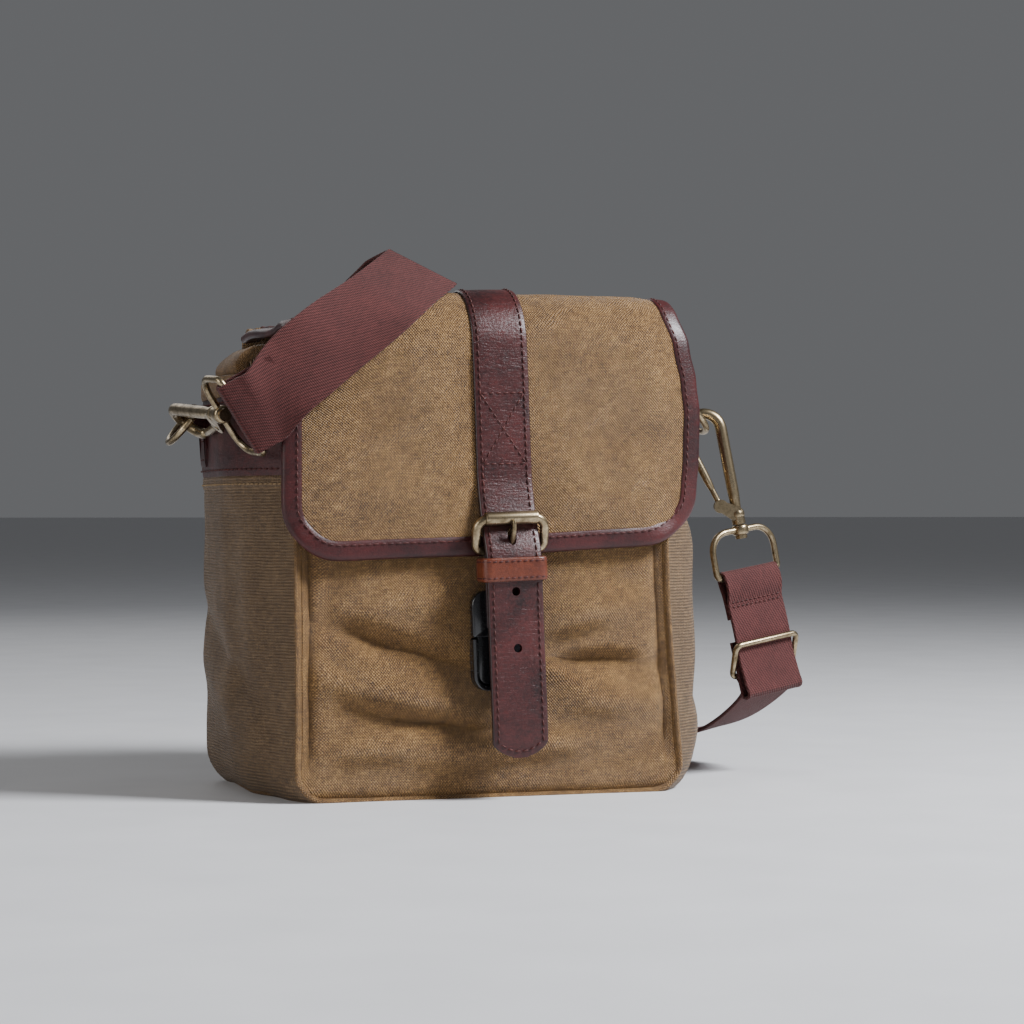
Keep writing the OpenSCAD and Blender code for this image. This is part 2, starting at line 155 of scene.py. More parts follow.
def make(name, verts, faces, uvs=None, face_mats=None, sharp=35):
    """Mesh object from millimetre points; uvs has one (u, v) in millimetres for each face corner."""
    mesh = bpy.data.meshes.new(name)
    mesh.from_pydata([Vector(v) * MM for v in verts], [], faces)
    if uvs:
        layer = mesh.uv_layers.new(name="cloth")
        for k, uv in enumerate(c for face in uvs for c in face):
            layer.data[k].uv = (uv[0] * MM, uv[1] * MM)
    mesh.validate(clean_customdata=False)
    shape = bmesh.new()
    shape.from_mesh(mesh)
    bmesh.ops.recalc_face_normals(shape, faces=shape.faces)
    shape.to_mesh(mesh)
    shape.free()
    if face_mats:
        mesh.polygons.foreach_set("material_index", face_mats)
    mesh.polygons.foreach_set("use_smooth", [True] * len(mesh.polygons))
    mesh.set_sharp_from_angle(angle=radians(sharp))
    obj = bpy.data.objects.new(name, mesh)
    bpy.context.scene.collection.objects.link(obj)
    return obj


def applied(obj, smooth_angle=35):
    """Apply the object's modifiers to its mesh."""
    graph = bpy.context.evaluated_depsgraph_get()
    mesh = bpy.data.meshes.new_from_object(obj.evaluated_get(graph))
    obj.modifiers.clear()
    obj.data = mesh
    mesh.polygons.foreach_set("use_smooth", [True] * len(mesh.polygons))
    mesh.set_sharp_from_angle(angle=radians(smooth_angle))
    return obj


def paint(obj, *materials):
    """Give an object its materials and keep which face takes which."""
    faces = obj.data.polygons
    which = [min(f.material_index, len(materials) - 1) for f in faces]
    obj.data.materials.clear()
    for m in materials:
        obj.data.materials.append(m)
    faces.foreach_set("material_index", which)
    return obj


def place(obj, body, slot=None, *nodes):
    """Ride on a body and stand for CAD nodes; slot is not used."""
    if body:
        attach(obj, body)
    if nodes:
        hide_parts(*nodes)
    return obj


def grid_normals(rows):
    """Unit normals of a grid of points: along a row crossed with down the rows."""
    out = []
    for i, row in enumerate(rows):
        line = []
        up, dn = rows[max(i - 1, 0)], rows[min(i + 1, len(rows) - 1)]
        for j in range(len(row)):
            across = row[min(j + 1, len(row) - 1)] - row[max(j - 1, 0)]
            line.append(across.cross(dn[j] - up[j]).normalized())
        out.append(line)
    return out


def slab(name, rows, thick, turn, uv, lip=0.3):
    """Closed sheet of a thickness over a grid of inner points. Its inner faces take the second material."""
    normals = grid_normals(rows)
    ni, nj = len(rows), len(rows[0])
    verts = [p for row in rows for p in row]
    verts += [rows[i][j] - normals[i][j] * (thick * turn) for i in range(ni) for j in range(nj)]
    faces, uvs, mats = [], [], []
    size = ni * nj

    def quad(a, b, c, d, ua, ub, uc, ud, m):
        if turn < 0:
            a, b, c, d, ua, ub, uc, ud = d, c, b, a, ud, uc, ub, ua
        faces.append((a, b, c, d))
        uvs.append((ua, ub, uc, ud))
        mats.append(m)

    for i in range(ni - 1):
        for j in range(nj - 1):
            k = i * nj + j
            corners = (k, k + 1, k + nj + 1, k + nj)
            t = (uv[i][j], uv[i][j + 1], uv[i + 1][j + 1], uv[i + 1][j])
            quad(*corners, *t, 1)
            quad(*(size + c for c in reversed(corners)), *reversed(t), 0)
    edge = [(0, j) for j in range(nj)] + [(i, nj - 1) for i in range(1, ni)]
    edge += [(ni - 1, j) for j in range(nj - 2, -1, -1)] + [(i, 0) for i in range(ni - 2, 0, -1)]
    middle = []
    for i, j in edge:
        inside = rows[min(max(i, 1), ni - 2)][min(max(j, 1), nj - 2)]
        out = (rows[i][j] - inside).normalized()
        middle.append(len(verts))
        verts.append((verts[i * nj + j] + verts[size + i * nj + j]) / 2 + out * thick * lip)
    for k in range(len(edge)):
        (i0, j0), (i1, j1) = edge[k], edge[(k + 1) % len(edge)]
        a, b = i0 * nj + j0, i1 * nj + j1
        m0, m1 = middle[k], middle[(k + 1) % len(edge)]
        t0, t1 = uv[i0][j0], uv[i1][j1]
        quad(b, a, m0, m1, t1, t0, t0, t1, 0)
        quad(m1, m0, size + a, size + b, t1, t0, t0, t1, 0)
    return make(name, verts, faces, uvs, mats, sharp=50)


def rounded(half_w, half_t, r, columns=6, crown=0.0):
    """Ring of (across, up) points of a flat section with round edges, with a crowned top."""
    r = min(r, half_t * 0.999, half_w * 0.9)
    ring = []
    for sx, sy, start in ((1, 1, 0), (-1, 1, 90), (-1, -1, 180), (1, -1, 270)):
        for k in range(4):
            a = radians(start + 30 * k)
            ring.append((sx * (half_w - r) + r * cos(a), sy * (half_t - r) + r * sin(a)))
        if sy > 0 and sx > 0:
            for k in range(1, columns):
                ring.append((mix(half_w - r, r - half_w, k / columns), half_t))
        if sy < 0 and sx < 0:
            for k in range(1, columns):
                ring.append((mix(r - half_w, half_w - r, k / columns), -half_t))
    if crown:
        ring = [(a, b + crown * (1 - (a / half_w) ** 2) * (1 if b > 0 else 0)) for a, b in ring]
    return ring


def sweep(name, frames, ring, closed=False, edge_from=None, sharp=35):
    """Solid along frames of (point, across, up). ring is a list of (across, up), or a function of the frame's
    index. Faces beyond edge_from of the half width take the second material."""
    rings, lengths = [], [0.0]
    for k, (p, a, n) in enumerate(frames):
        shape = ring(k) if callable(ring) else ring
        rings.append([p + a * x + n * y for x, y in shape])
        if k:
            lengths.append(lengths[-1] + (p - frames[k - 1][0]).length)
    shape = ring(len(frames) // 2) if callable(ring) else ring
    m = len(shape)
    us = [0.0]
    for j in range(m):
        us.append(us[-1] + (Vector(shape[(j + 1) % m]) - Vector(shape[j])).length)
    half = max(x for x, _ in shape)
    verts = [p for r in rings for p in r]
    faces, uvs, mats = [], [], []
    count = len(rings)
    for k in range(count if closed else count - 1):
        nxt = (k + 1) % count
        v0 = lengths[k]
        v1 = lengths[nxt] if nxt else v0 + (frames[0][0] - frames[-1][0]).length
        for j in range(m):
            q = (j + 1) % m
            faces.append((k * m + j, k * m + q, nxt * m + q, nxt * m + j))
            uvs.append(((us[j], v0), (us[j + 1], v0), (us[j + 1], v1), (us[j], v1)))
            far = min(abs(shape[j][0]), abs(shape[q][0])) > half * edge_from if edge_from else False
            mats.append(1 if far else 0)
    if not closed:
        for k, order in ((0, range(m - 1, -1, -1)), (count - 1, range(m))):
            faces.append(tuple(k * m + j for j in order))
            uvs.append(tuple((shape[j][0], lengths[k] + shape[j][1]) for j in order))
            mats.append(1 if edge_from else 0)
    return make(name, verts, faces, uvs, mats, sharp)


def line_frames(points, up, closed=False):
    """Frames along a line: up is one direction or one for each point."""
    out = []
    for k, p in enumerate(points):
        run = unit(step_past(points, k, closed))
        n = square_to(Vector(up[k] if isinstance(up, list) else up), run)
        out.append((p, n.cross(run), n))
    return out


def turned_frames(points, across):
    """Frames along an open line whose across stays the same."""
    return [(p, across, unit(step_past(points, k).cross(across))) for k, p in enumerate(points)]


def tube(name, points, radius, closed=False, sides=12):
    """Round bar along points; radius is a number or one for each point."""
    steep = abs(unit(points[-1] - points[0]).z) >= 0.9
    n = Vector((0, 1, 0.1)) if steep and not closed else Vector((0.03, 0.05, 1))
    frames = []
    for k, p in enumerate(points):
        run = unit(step_past(points, k, closed))
        n = square_to(n, run)
        frames.append((p, n.cross(run), n))

    def ring(k):
        r = radius[k] if isinstance(radius, list) else radius
        return [(r * x, r * y) for x, y in oval(1, 1, sides)]
    return sweep(name, frames, ring, closed)


def loft(name, rings, sharp=40):
    """Closed skin over rings of points that all have as many points, with a cap at each end."""
    m = len(rings[0])
    verts = [p for r in rings for p in r]
    faces, uvs = [], []
    us = [0.0]
    middle = rings[len(rings) // 2]
    for j in range(m):
        us.append(us[-1] + (middle[(j + 1) % m] - middle[j]).length)
    v = 0.0
    for k in range(len(rings) - 1):
        v2 = v + sum((rings[k + 1][j] - rings[k][j]).length for j in range(0, m, 4)) / len(range(0, m, 4))
        for j in range(m):
            q = (j + 1) % m
            faces.append((k * m + j, k * m + q, (k + 1) * m + q, (k + 1) * m + j))
            uvs.append(((us[j], v), (us[j + 1], v), (us[j + 1], v2), (us[j], v2)))
        v = v2
    for index, first in ((0, True), (len(rings) - 1, False)):
        verts.append(sum(rings[index], Vector()) / m)
        c = len(verts) - 1
        for j in range(m):
            a, b = index * m + j, index * m + (j + 1) % m
            tri = (b, a, c) if first else (a, b, c)
            faces.append(tri)
            uvs.append(tuple((verts[i].x, verts[i].y) for i in tri))
    return make(name, verts, faces, uvs, sharp=sharp)


def stitches(name, lines, body, pitch=3.7, length=2.9, r=0.42, skip=0.0, yarn=None):
    """Sewing thread along lines of (point, normal): each stitch rises from the cloth and dips back."""
    verts, faces = [], []
    profile = [(0.0, 0.35, -0.5), (0.1, 0.8, -0.12), (0.3, 1.0, 0.25), (0.5, 1.05, 0.35),
               (0.7, 1.0, 0.25), (0.9, 0.8, -0.12), (1.0, 0.35, -0.5)]
    sides = 6
    for line in lines:
        pts = [Vector(p) for p, _ in line]
        ends = [0.0]
        for a, b in zip(pts, pts[1:]):
            ends.append(ends[-1] + (b - a).length)
        total = ends[-1] - 2 * skip
        count = max(1, round(total / pitch))
        gap = total / count

        def at(s):
            k = 0
            while k < len(pts) - 2 and ends[k + 1] < s:
                k += 1
            t = (s - ends[k]) / max(ends[k + 1] - ends[k], 1e-6)
            return pts[k].lerp(pts[k + 1], t), unit(Vector(line[k][1]).lerp(Vector(line[k + 1][1]), t))
        for i in range(count):
            s0 = skip + gap * (i + 0.5) - length / 2
            p0, n0 = at(max(s0, 0))
            p1, n1 = at(min(s0 + length, ends[-1]))
            along = unit(p1 - p0)
            n = unit(n0 + n1)
            side = n.cross(along)
            slant = side * 0.22
            base = len(verts)
            for t, fat, lift in profile:
                c = p0.lerp(p1, t) + n * (r * lift) + slant * (t - 0.5)
                verts += [c + side * a + n * b for a, b in oval(r * fat, r * fat, sides)]
            for k in range(len(profile) - 1):
                for j in range(sides):
                    q = (j + 1) % sides
                    faces.append((base + k * sides + j, base + k * sides + q,
                                  base + (k + 1) * sides + q, base + (k + 1) * sides + j))
            faces.append(tuple(base + j for j in range(sides - 1, -1, -1)))
            faces.append(tuple(base + (len(profile) - 1) * sides + j for j in range(sides)))
    obj = paint(make(name, verts, faces, sharp=60), yarn or THREAD)
    return place(obj, body, "leather")


def punch(obj, holes):
    """Cut oval holes of (centre, half width, half height, depth, sides) through a piece along y."""
    cutters = []
    for c, across, up, depth, sides in holes:
        rings = [[c + Vector((a, y, b)) for a, b in oval(across, up, sides)] for y in (-depth, depth)]
        cutters.append(loft("cutter", rings))
    for cutter in cutters:
        m = obj.modifiers.new("cut", "BOOLEAN")
        m.operation = "DIFFERENCE"
        m.solver = "EXACT"
        m.object = cutter
    applied(obj)
    for cutter in cutters:
        bpy.data.objects.remove(cutter)


# ---- Materials ----

class Paint:
    """A material and short calls that add nodes to it."""

    def __init__(self, name):
        self.material = bpy.data.materials.new(name)
        self.material.use_nodes = True
        self.tree = self.material.node_tree
        self.shader = self.tree.nodes["Principled BSDF"]

    def link(self, value, socket):
        if isinstance(value, bpy.types.NodeSocket):
            self.tree.links.new(value, socket)
        elif value is not None:
            socket.default_value = value

    def node(self, kind, inputs, out=0, **props):
        n = self.tree.nodes.new(kind)
        for key, value in props.items():
            setattr(n, key, value)
        for key, value in inputs.items():
            self.link(value, n.inputs[key])
        return n.outputs[out]

    def math(self, operation, a, b=None, c=None):
        return self.node("ShaderNodeMath", {0: a, 1: b, 2: c}, operation=operation)

    def coords(self, flat):
        """Millimetre coordinates: along the cloth where flat, else in the object."""
        if flat:
            base = self.node("ShaderNodeUVMap", {}, uv_map="cloth")
        else:
            base = self.node("ShaderNodeTexCoord", {}, out=3)
        return self.node("ShaderNodeVectorMath", {0: base, 3: 1000.0}, operation="SCALE")

    def axis(self, vector, index):
        return self.node("ShaderNodeSeparateXYZ", {0: vector}, out=index)

    def noise(self, vector, size, detail=3.0, rough=0.55, warp=0.0):
        """Noise whose features are size across, or (x, y, z) sizes where it is drawn out."""
        if isinstance(size, tuple):
            shares = tuple(1 / s for s in size)
            vector = self.node("ShaderNodeVectorMath", {0: vector, 1: shares}, operation="MULTIPLY")
            size = 1.0
        return self.node("ShaderNodeTexNoise", {"Vector": vector, "Scale": 1.0 / size, "Detail": detail,
                                               "Roughness": rough, "Distortion": warp})

    def cells(self, vector, size):
        return self.node("ShaderNodeTexVoronoi", {"Vector": vector, "Scale": 1 / size}, feature="F1")

    def total(self, *parts):
        """Sum of (value, weight) parts."""
        out = self.math("MULTIPLY", *parts[0])
        for value, weight in parts[1:]:
            out = self.math("MULTIPLY_ADD", value, weight, out)
        return out

    def wave(self, value, length):
        return self.math("SINE", self.math("MULTIPLY", value, 2 * pi / length))

    def ramp(self, value, stops):
        n = self.tree.nodes.new("ShaderNodeValToRGB")
        self.link(value, n.inputs[0])
        while len(n.color_ramp.elements) < len(stops):
            n.color_ramp.elements.new(0.5)
        for e, (at, colour) in zip(n.color_ramp.elements, stops):
            e.position = at
            e.color = (*colour, 1) if len(colour) == 3 else (colour[0],) * 3 + (1,)
        return n.outputs[0]

    def blend(self, fac, a, b, kind="MIX"):
        n = self.tree.nodes.new("ShaderNodeMix")
        n.data_type = "RGBA"
        n.blend_type = kind
        self.link(fac, n.inputs[0])
        for value, socket in ((a, n.inputs[6]), (b, n.inputs[7])):
            self.link((*value, 1) if isinstance(value, tuple) and len(value) == 3 else value, socket)
        return n.outputs[2]

    def span(self, value, lo, hi, to_lo, to_hi):
        return self.node("ShaderNodeMapRange", {0: value, 1: lo, 2: hi, 3: to_lo, 4: to_hi})

    def two_tone(self, tone, lo, hi, dark, light):
        """Dark where tone is lo, light where it is hi."""
        return self.ramp(self.span(tone, lo, hi, 0.0, 1.0), [(0.0, dark), (1.0, light)])

    def bump(self, height, distance, strength=1.0):
        self.link(self.node("ShaderNodeBump", {"Height": height, "Distance": distance * MM,
                                              "Strength": strength}), self.shader.inputs["Normal"])

    def finish(self, colour=None, roughness=None, **values):
        self.link(colour, self.shader.inputs["Base Color"])
        self.link(roughness, self.shader.inputs["Roughness"])
        for key, value in values.items():
            self.shader.inputs[key.replace("_", " ")].default_value = value
        return self.material


def canvas(name, dark, middle, light, ribbed=0.0):
    """Waxed cotton duck: a plain weave with slubby yarns, a mottled wax finish and painted shade in the
    weave's hollows.
    """
    p = Paint(name)
    at = p.coords(True)
    wander = p.noise(at, (14, 14, 14), 2.0)
    shift = p.math("MULTIPLY", p.math("SUBTRACT", wander, 0.5), 0.9 if ribbed else 3.0)
    warp = p.wave(p.math("ADD", p.axis(at, 0), shift), 1.35)
    weft = p.wave(p.math("SUBTRACT", p.axis(at, 1), shift), 1.5)
    checker = p.math("MULTIPLY", warp, weft)
    yarn_up = p.noise(at, (0.75, 4.5, 4.5), 2.0, 0.6)
    yarn_across = p.noise(at, (6.0, 0.7, 0.7), 2.0, 0.6)
    slub = p.total((yarn_up, 0.5), (yarn_across, 0.5))
    fuzz = p.noise(at, 0.8, 2.0)
    cloud = p.noise(at, 38, 4.0, 0.6, 0.3)
    rub = p.noise(at, 9, 4.0, 0.65)
    height = p.total((checker, 0.8), (slub, 1.2), (weft, ribbed))
    # the checker and weft terms darken the colour in the weave's hollows, where the bump sinks: painted
    # shade; slub, cloud, rub and fuzz are the cloth's own tone
    tone = p.total((p.math("SUBTRACT", slub, 0.5), 0.95), (cloud, 0.26), (rub, 0.20), (checker, 0.16),
                   (fuzz, 0.42), (weft, 0.06 * ribbed))
    tone = p.math("ADD", tone, 0.43)
    colour = p.ramp(p.span(tone, 0.60, 1.16, 0.0, 1.0), [(0.0, dark), (0.5, middle), (1.0, light)])
    p.bump(height, 0.42)
    roughness = p.span(cloud, 0.3, 0.75, 0.56, 0.40)
    return p.finish(colour, roughness, Sheen_Weight=0.04, Sheen_Roughness=0.45, Specular_IOR_Level=0.5)


def leather(name, dark, light, grain=1.3, roughness=(0.42, 0.30), crease=1.0, coat=0.12):
    """Full-grain leather: pebbled pores, fine creases across the run, worn tone and painted shade down in the
    creases and between the pebbles.
    """
    p = Paint(name)
    at = p.coords(False)
    pebble, fine = p.cells(at, grain), p.cells(at, grain / 2.3)
    wrinkle = p.noise(at, (7.0, 7.0, 1.1), 4.0, 0.6, 0.6)
    wrinkle = p.math("ABSOLUTE", p.math("SUBTRACT", wrinkle, 0.5))
    cloud = p.noise(at, 24, 4.0, 0.6, 0.4)
    spots = p.noise(at, 3.0, 3.0, 0.7)
    height = p.total((pebble, -0.55), (fine, -0.3), (wrinkle, 3.0 * crease))
    # the wrinkle and pebble terms darken the colour where the bump sinks, in the creases and between the
    # pebbles: painted shade; cloud and spots are the leather's own tone
    tone = p.total((cloud, 0.75), (spots, 0.30), (wrinkle, 0.5), (pebble, -0.12))
    p.bump(height, 0.15, 0.8)
    return p.finish(p.two_tone(tone, 0.33, 0.75, dark, light), p.span(spots, 0.3, 0.7, *roughness),
                    Coat_Weight=coat, Coat_Roughness=0.35, Specular_IOR_Level=0.40)


def webbing(name, dark, light):
    """Cotton webbing with a diagonal twill rib, fine yarns along it and painted shade in the rib's grooves.
    """
    p = Paint(name)
    at = p.coords(True)
    wander = p.noise(at, (18, 18, 18), 2.0)
    along = p.axis(at, 1)
    slope = radians(24)
    run = p.total((p.axis(at, 0), cos(slope)), (along, sin(slope)), (wander, 1.1))
    rib = p.math("ABSOLUTE", p.wave(run, 2.9))
    over = p.wave(along, 0.9)
    yarn = p.noise(at, (0.8, 5, 5), 3.0, 0.6)
    fuzz = p.noise(at, 0.5, 3.0, 0.6)
    cloud = p.noise(at, 22, 3.0)
    # the rib and over terms darken the colour in the twill's grooves, where the bump sinks: painted shade;
    # yarn, cloud and fuzz are the webbing's own tone
    tone = p.total((rib, 0.26), (yarn, 0.45), (cloud, 0.30), (fuzz, 0.30), (over, 0.09))
    p.bump(p.total((rib, 0.8), (over, 0.22), (fuzz, 0.6)), 0.30, 0.9)
    return p.finish(p.two_tone(tone, 0.40, 1.15, dark, light), 0.82, Sheen_Weight=0.10, Sheen_Roughness=0.4,
                    Specular_IOR_Level=0.3)


def brass(name, dark, light, roughness=(0.20, 0.42)):
    """Antique brass: bright where it is rubbed, brown where it isn't, with fine scratches."""
    p = Paint(name)
    at = p.coords(False)
    patina = p.noise(at, 5.0, 4.0, 0.65, 0.5)
    specks = p.noise(at, 0.9, 3.0, 0.7)
    scratch = p.noise(at, (0.35, 4.0, 0.5), 2.0, 0.6)
    tone = p.total((patina, 0.8), (specks, 0.25))
    p.bump(p.total((specks, 0.5), (scratch, 0.5)), 0.05, 0.5)
    rubbed, dull = roughness
    colour = p.two_tone(tone, 0.35, 0.70, dark, light)
    return p.finish(colour, p.span(tone, 0.35, 0.75, dull, rubbed), Metallic=1.0)


def plastic(name, colour):
    """Black moulded acetal: smooth with faint flow ripples and scuffs."""
    p = Paint(name)
    at = p.coords(False)
    ripple = p.noise(at, 6.0, 2.0)
    scuff = p.noise(at, (0.4, 5.0, 0.7), 3.0, 0.7)
    p.bump(p.total((ripple, 0.8), (scuff, 0.2)), 0.10, 0.5)
    tone = p.ramp(scuff, [(0.35, colour), (0.8, tuple(c * 1.8 for c in colour))])
    return p.finish(tone, p.span(scuff, 0.3, 0.8, 0.16, 0.34), Coat_Weight=0.4, Coat_Roughness=0.08)


def fleece(name, dark, light):
    """Brushed nylon lining: short nap in soft clouds."""
    p = Paint(name)
    at = p.coords(False)
    nap = p.noise(at, 0.9, 4.0, 0.7)
    cloud = p.noise(at, 26, 3.0)
    p.bump(p.math("SUBTRACT", nap, p.math("MULTIPLY", p.cells(at, 1 / 0.9), 0.5)), 0.35, 0.8)
    return p.finish(p.two_tone(p.total((nap, 0.6), (cloud, 0.4)), 0.35, 0.7, dark, light), 0.92,
                    Sheen_Weight=0.5, Sheen_Roughness=0.35, Specular_IOR_Level=0.2)


def thread(name, dark, light):
    """Waxed twisted thread."""
    p = Paint(name)
    at = p.coords(False)
    p.bump(p.noise(at, 0.35, 2.0), 0.12, 0.7)
    return p.finish(p.two_tone(p.noise(at, 7.0, 2.0), 0.3, 0.7, dark, light), 0.6, Specular_IOR_Level=0.4)


CANVAS = canvas("waxed_canvas", (0.026, 0.0110, 0.0027), (0.165, 0.0800, 0.0200), (0.480, 0.285, 0.108))
# the gussets' copy of the canvas: its weft ribs are the cloth's own, and its greyer, flatter colours are
# painted light falling on the sides
SIDE_LIT_CANVAS = canvas("waxed_canvas_side_lit", (0.040, 0.021, 0.009), (0.150, 0.088, 0.040), (0.330, 0.215, 0.110),
                     ribbed=0.9)
LEATHER = leather("oxblood_leather", (0.013, 0.0032, 0.0036), (0.090, 0.0185, 0.0175))
BINDING = leather("binding_leather", (0.018, 0.0032, 0.0036), (0.078, 0.0125, 0.0125), grain=1.0, crease=0.4,
                  roughness=(0.46, 0.36), coat=0.08)
EDGE = leather("leather_edge", (0.016, 0.007, 0.008), (0.035, 0.014, 0.015), grain=0.8,
               roughness=(0.35, 0.25), crease=0.2, coat=0.4)
TAN = leather("tan_leather", (0.070, 0.015, 0.008), (0.185, 0.045, 0.020), grain=1.1, crease=0.5)
WEBBING = webbing("maroon_webbing", (0.016, 0.0032, 0.0032), (0.150, 0.038, 0.034))
BRASS = brass("antique_brass", (0.125, 0.092, 0.050), (0.50, 0.40, 0.255))
BLACK = plastic("black_plastic", (0.006, 0.006, 0.007))
LINING = fleece("brushed_lining", (0.045, 0.034, 0.025), (0.105, 0.080, 0.058))
THREAD = thread("waxed_thread", (0.030, 0.0055, 0.0050), (0.080, 0.0150, 0.0110))
CANVAS_THREAD = thread("canvas_thread", (0.16, 0.10, 0.045), (0.30, 0.20, 0.10))


# ---- Sizes that the pieces share with the frame ----

SEAM_X = 92.5            # half of the front panel's width
SIDE_X = 119.0           # half of the widest width
FRONT_Y = -56.0
BACK_Y = 66.0
BACK_R = 22.0
SIDE_TOP = 206.0
HEM_Z = 205.5            # top row of the front panel and the gussets
BACK_TOP = 231.0
FOOT = 12.0              # radius of the bottom edge
CORNER = 14              # radius of the front panel's lower corners
CANVAS_T = 2.2
GUSSET_LENGTH = 183      # from the front seam round to the back panel
LEAN = radians(2.1)
CLOSURE_X = 4.0          # middle of the closure strap at the crown
CROWN = 246.0


def leaning(x, y, z):
    """A point of the closure, with its lean about the flap's crown."""
    dz = z - CROWN
    return Vector((CLOSURE_X + x * cos(LEAN) - dz * sin(LEAN), y, CROWN + x * sin(LEAN) + dz * cos(LEAN)))


LEAN_ACROSS = leaning(1, 0, 0) - leaning(0, 0, 0)
LEAN_UP = leaning(0, 0, 1) - leaning(0, 0, 0)


def strap_x(z):
    """Middle of the closure strap at a height."""
    return CLOSURE_X + (CROWN - z) * sin(LEAN)


def seam_x(z, side):
    """Half width of the front panel at a height: it slumps outwards low on the right."""
    return SEAM_X + (9.0 * (1 - step(z, -30, 125)) if side > 0 else 0.8 * step(z, 60, 150))


def side_plan(s):
    """Plan point of the right gusset and its outward normal, at a share s of the way from the front seam to
    the back panel."""
    if s < 0.45:
        t = s / 0.45
        a = 90 * t
        p = (SEAM_X + (SIDE_X - SEAM_X) * sin(radians(a)), FRONT_Y * (1 - t))
        d = ((SIDE_X - SEAM_X) * cos(radians(a)) * pi / 2, -FRONT_Y)
    elif s < 0.75:
        t = (s - 0.45) / 0.30
        p = (SIDE_X, (BACK_Y - BACK_R) * t)
        d = (0, 1)
    else:
        a = radians(90 * (s - 0.75) / 0.25)
        p = (SIDE_X - BACK_R + BACK_R * cos(a), BACK_Y - BACK_R + BACK_R * sin(a))
        d = (-sin(a), cos(a))
    n = unit((d[1], -d[0]))
    return Vector((p[0], p[1])), n


def slump(s, z, side):
    """The gusset follows the front seam outwards."""
    return (seam_x(z, side) - SEAM_X) * (1 - step(s, 0.0, 0.35))


def foot_inset(z, r=FOOT):
    """How far a round edge of radius r draws in at a height above its foot."""
    return r - sqrt(max(r * r - (r - z) ** 2, 0)) if z < r else 0.0


FOLD_GAIN = 1.6
FOLD_SHARP = 0.86
FOLD_WANDER = 2.5
# Soft folds of the front panel: x, z, half length, half width, slope in degrees, height
FRONT_FOLDS = [
    (60, 66, 44, 6.5, -5, -5.2),
    (62, 46, 50, 9.0, -4, 4.0),
    (58, 90, 36, 8.5, 8, 2.8),
    (40, 78, 26, 4.5, 14, -2.2),
    (78, 54, 20, 4.0, -16, -1.8),
    (84, 28, 20, 8, 48, -2.6),
    (30, 60, 24, 5.0, -22, 2.0),
    (-50, 76, 52, 7.0, -17, -5.0),
    (-56, 54, 50, 9.0, -14, 4.2),
    (-30, 38, 44, 5.5, -8, -3.6),
    (-62, 24, 38, 7.0, 3, 3.0),
    (-36, 96, 30, 7.0, 10, 1.8),
    (-78, 92, 22, 7, 62, -2.6),
    (-72, 64, 18, 4, -34, -2.0),
    (-20, 20, 30, 5, 6, 2.0),
    (22, 26, 34, 6.0, 4, 2.6),
    (44, 16, 40, 5.0, 2, -1.8),
    (72, 108, 18, 7, -32, -2.4),
]


def fold_sum(x, z, folds):
    """Height of the soft folds at a point."""
    total = 0.0
    for fx, fz, length, width, slope, height in folds:
        a = radians(slope)
        u = (x - fx) * cos(a) + (z - fz) * sin(a)
        v = -(x - fx) * sin(a) + (z - fz) * cos(a)
        v += FOLD_WANDER * rough((u, 0, fz), 26, fx * 0.1)
        total += FOLD_GAIN * height * exp(-(u / length) ** 2 * 1.4 - (v / (FOLD_SHARP * width)) ** 2)
    return total


def front_out(x, z):
    """How far the front panel stands out of the seam plane."""
    side = 1 - (abs(x) / SEAM_X) ** 4
    low = step(z, 4, 30)
    belly = mix(1.2, 3.4, 1 - step(z, 96, 122)) * (1 - (x / SEAM_X) ** 2) ** 0.7 * low
    pressed = exp(-((x - strap_x(z)) / 21) ** 2) * step(z, 34, 50) * (1 - step(z, 110, 124))
    out = belly * side + fold_sum(x, z, FRONT_FOLDS) * side * low * (1 - step(z, 104, 118))
    out += 0.5 * rough((x, 0, z), 22, 3) * side
    # pulled in where it meets the welt
    out -= 2.4 * exp(-((SEAM_X - abs(x) - 4.5) / 2.6) ** 2) * low * (1 - step(z, 188, 200))
    return mix(out, min(out, 0.0), pressed)


# ---- Canvas body ----

def flat_uv(rows):
    return [[(p.x, p.z) for p in row] for row in rows]


def front_panel():
    xs = [SEAM_X * (2 * k / 84 - 1) for k in range(85)]
    heights = [0.6, 1.4, 2.6, 4.2, 6.2, 8.6, 11] + [14 + 3 * k for k in range(64)] + [HEM_Z]
    rows = []
    for z in reversed(heights):
        row = []
        for x in xs:
            # the lower corners are round in the front view
            x2 = x * (seam_x(z, x) - foot_inset(z, CORNER)) / SEAM_X
            y = FRONT_Y - front_out(x, z) + foot_inset(z, 9) * 0.85
            row.append(Vector((x2, y, z)))
        rows.append(row)
    obj = slab("front_panel_canvas", rows, CANVAS_T, turn=1, uv=flat_uv(rows))
    place(paint(obj, CANVAS, LINING), "bag", "canvas", "front_panel")


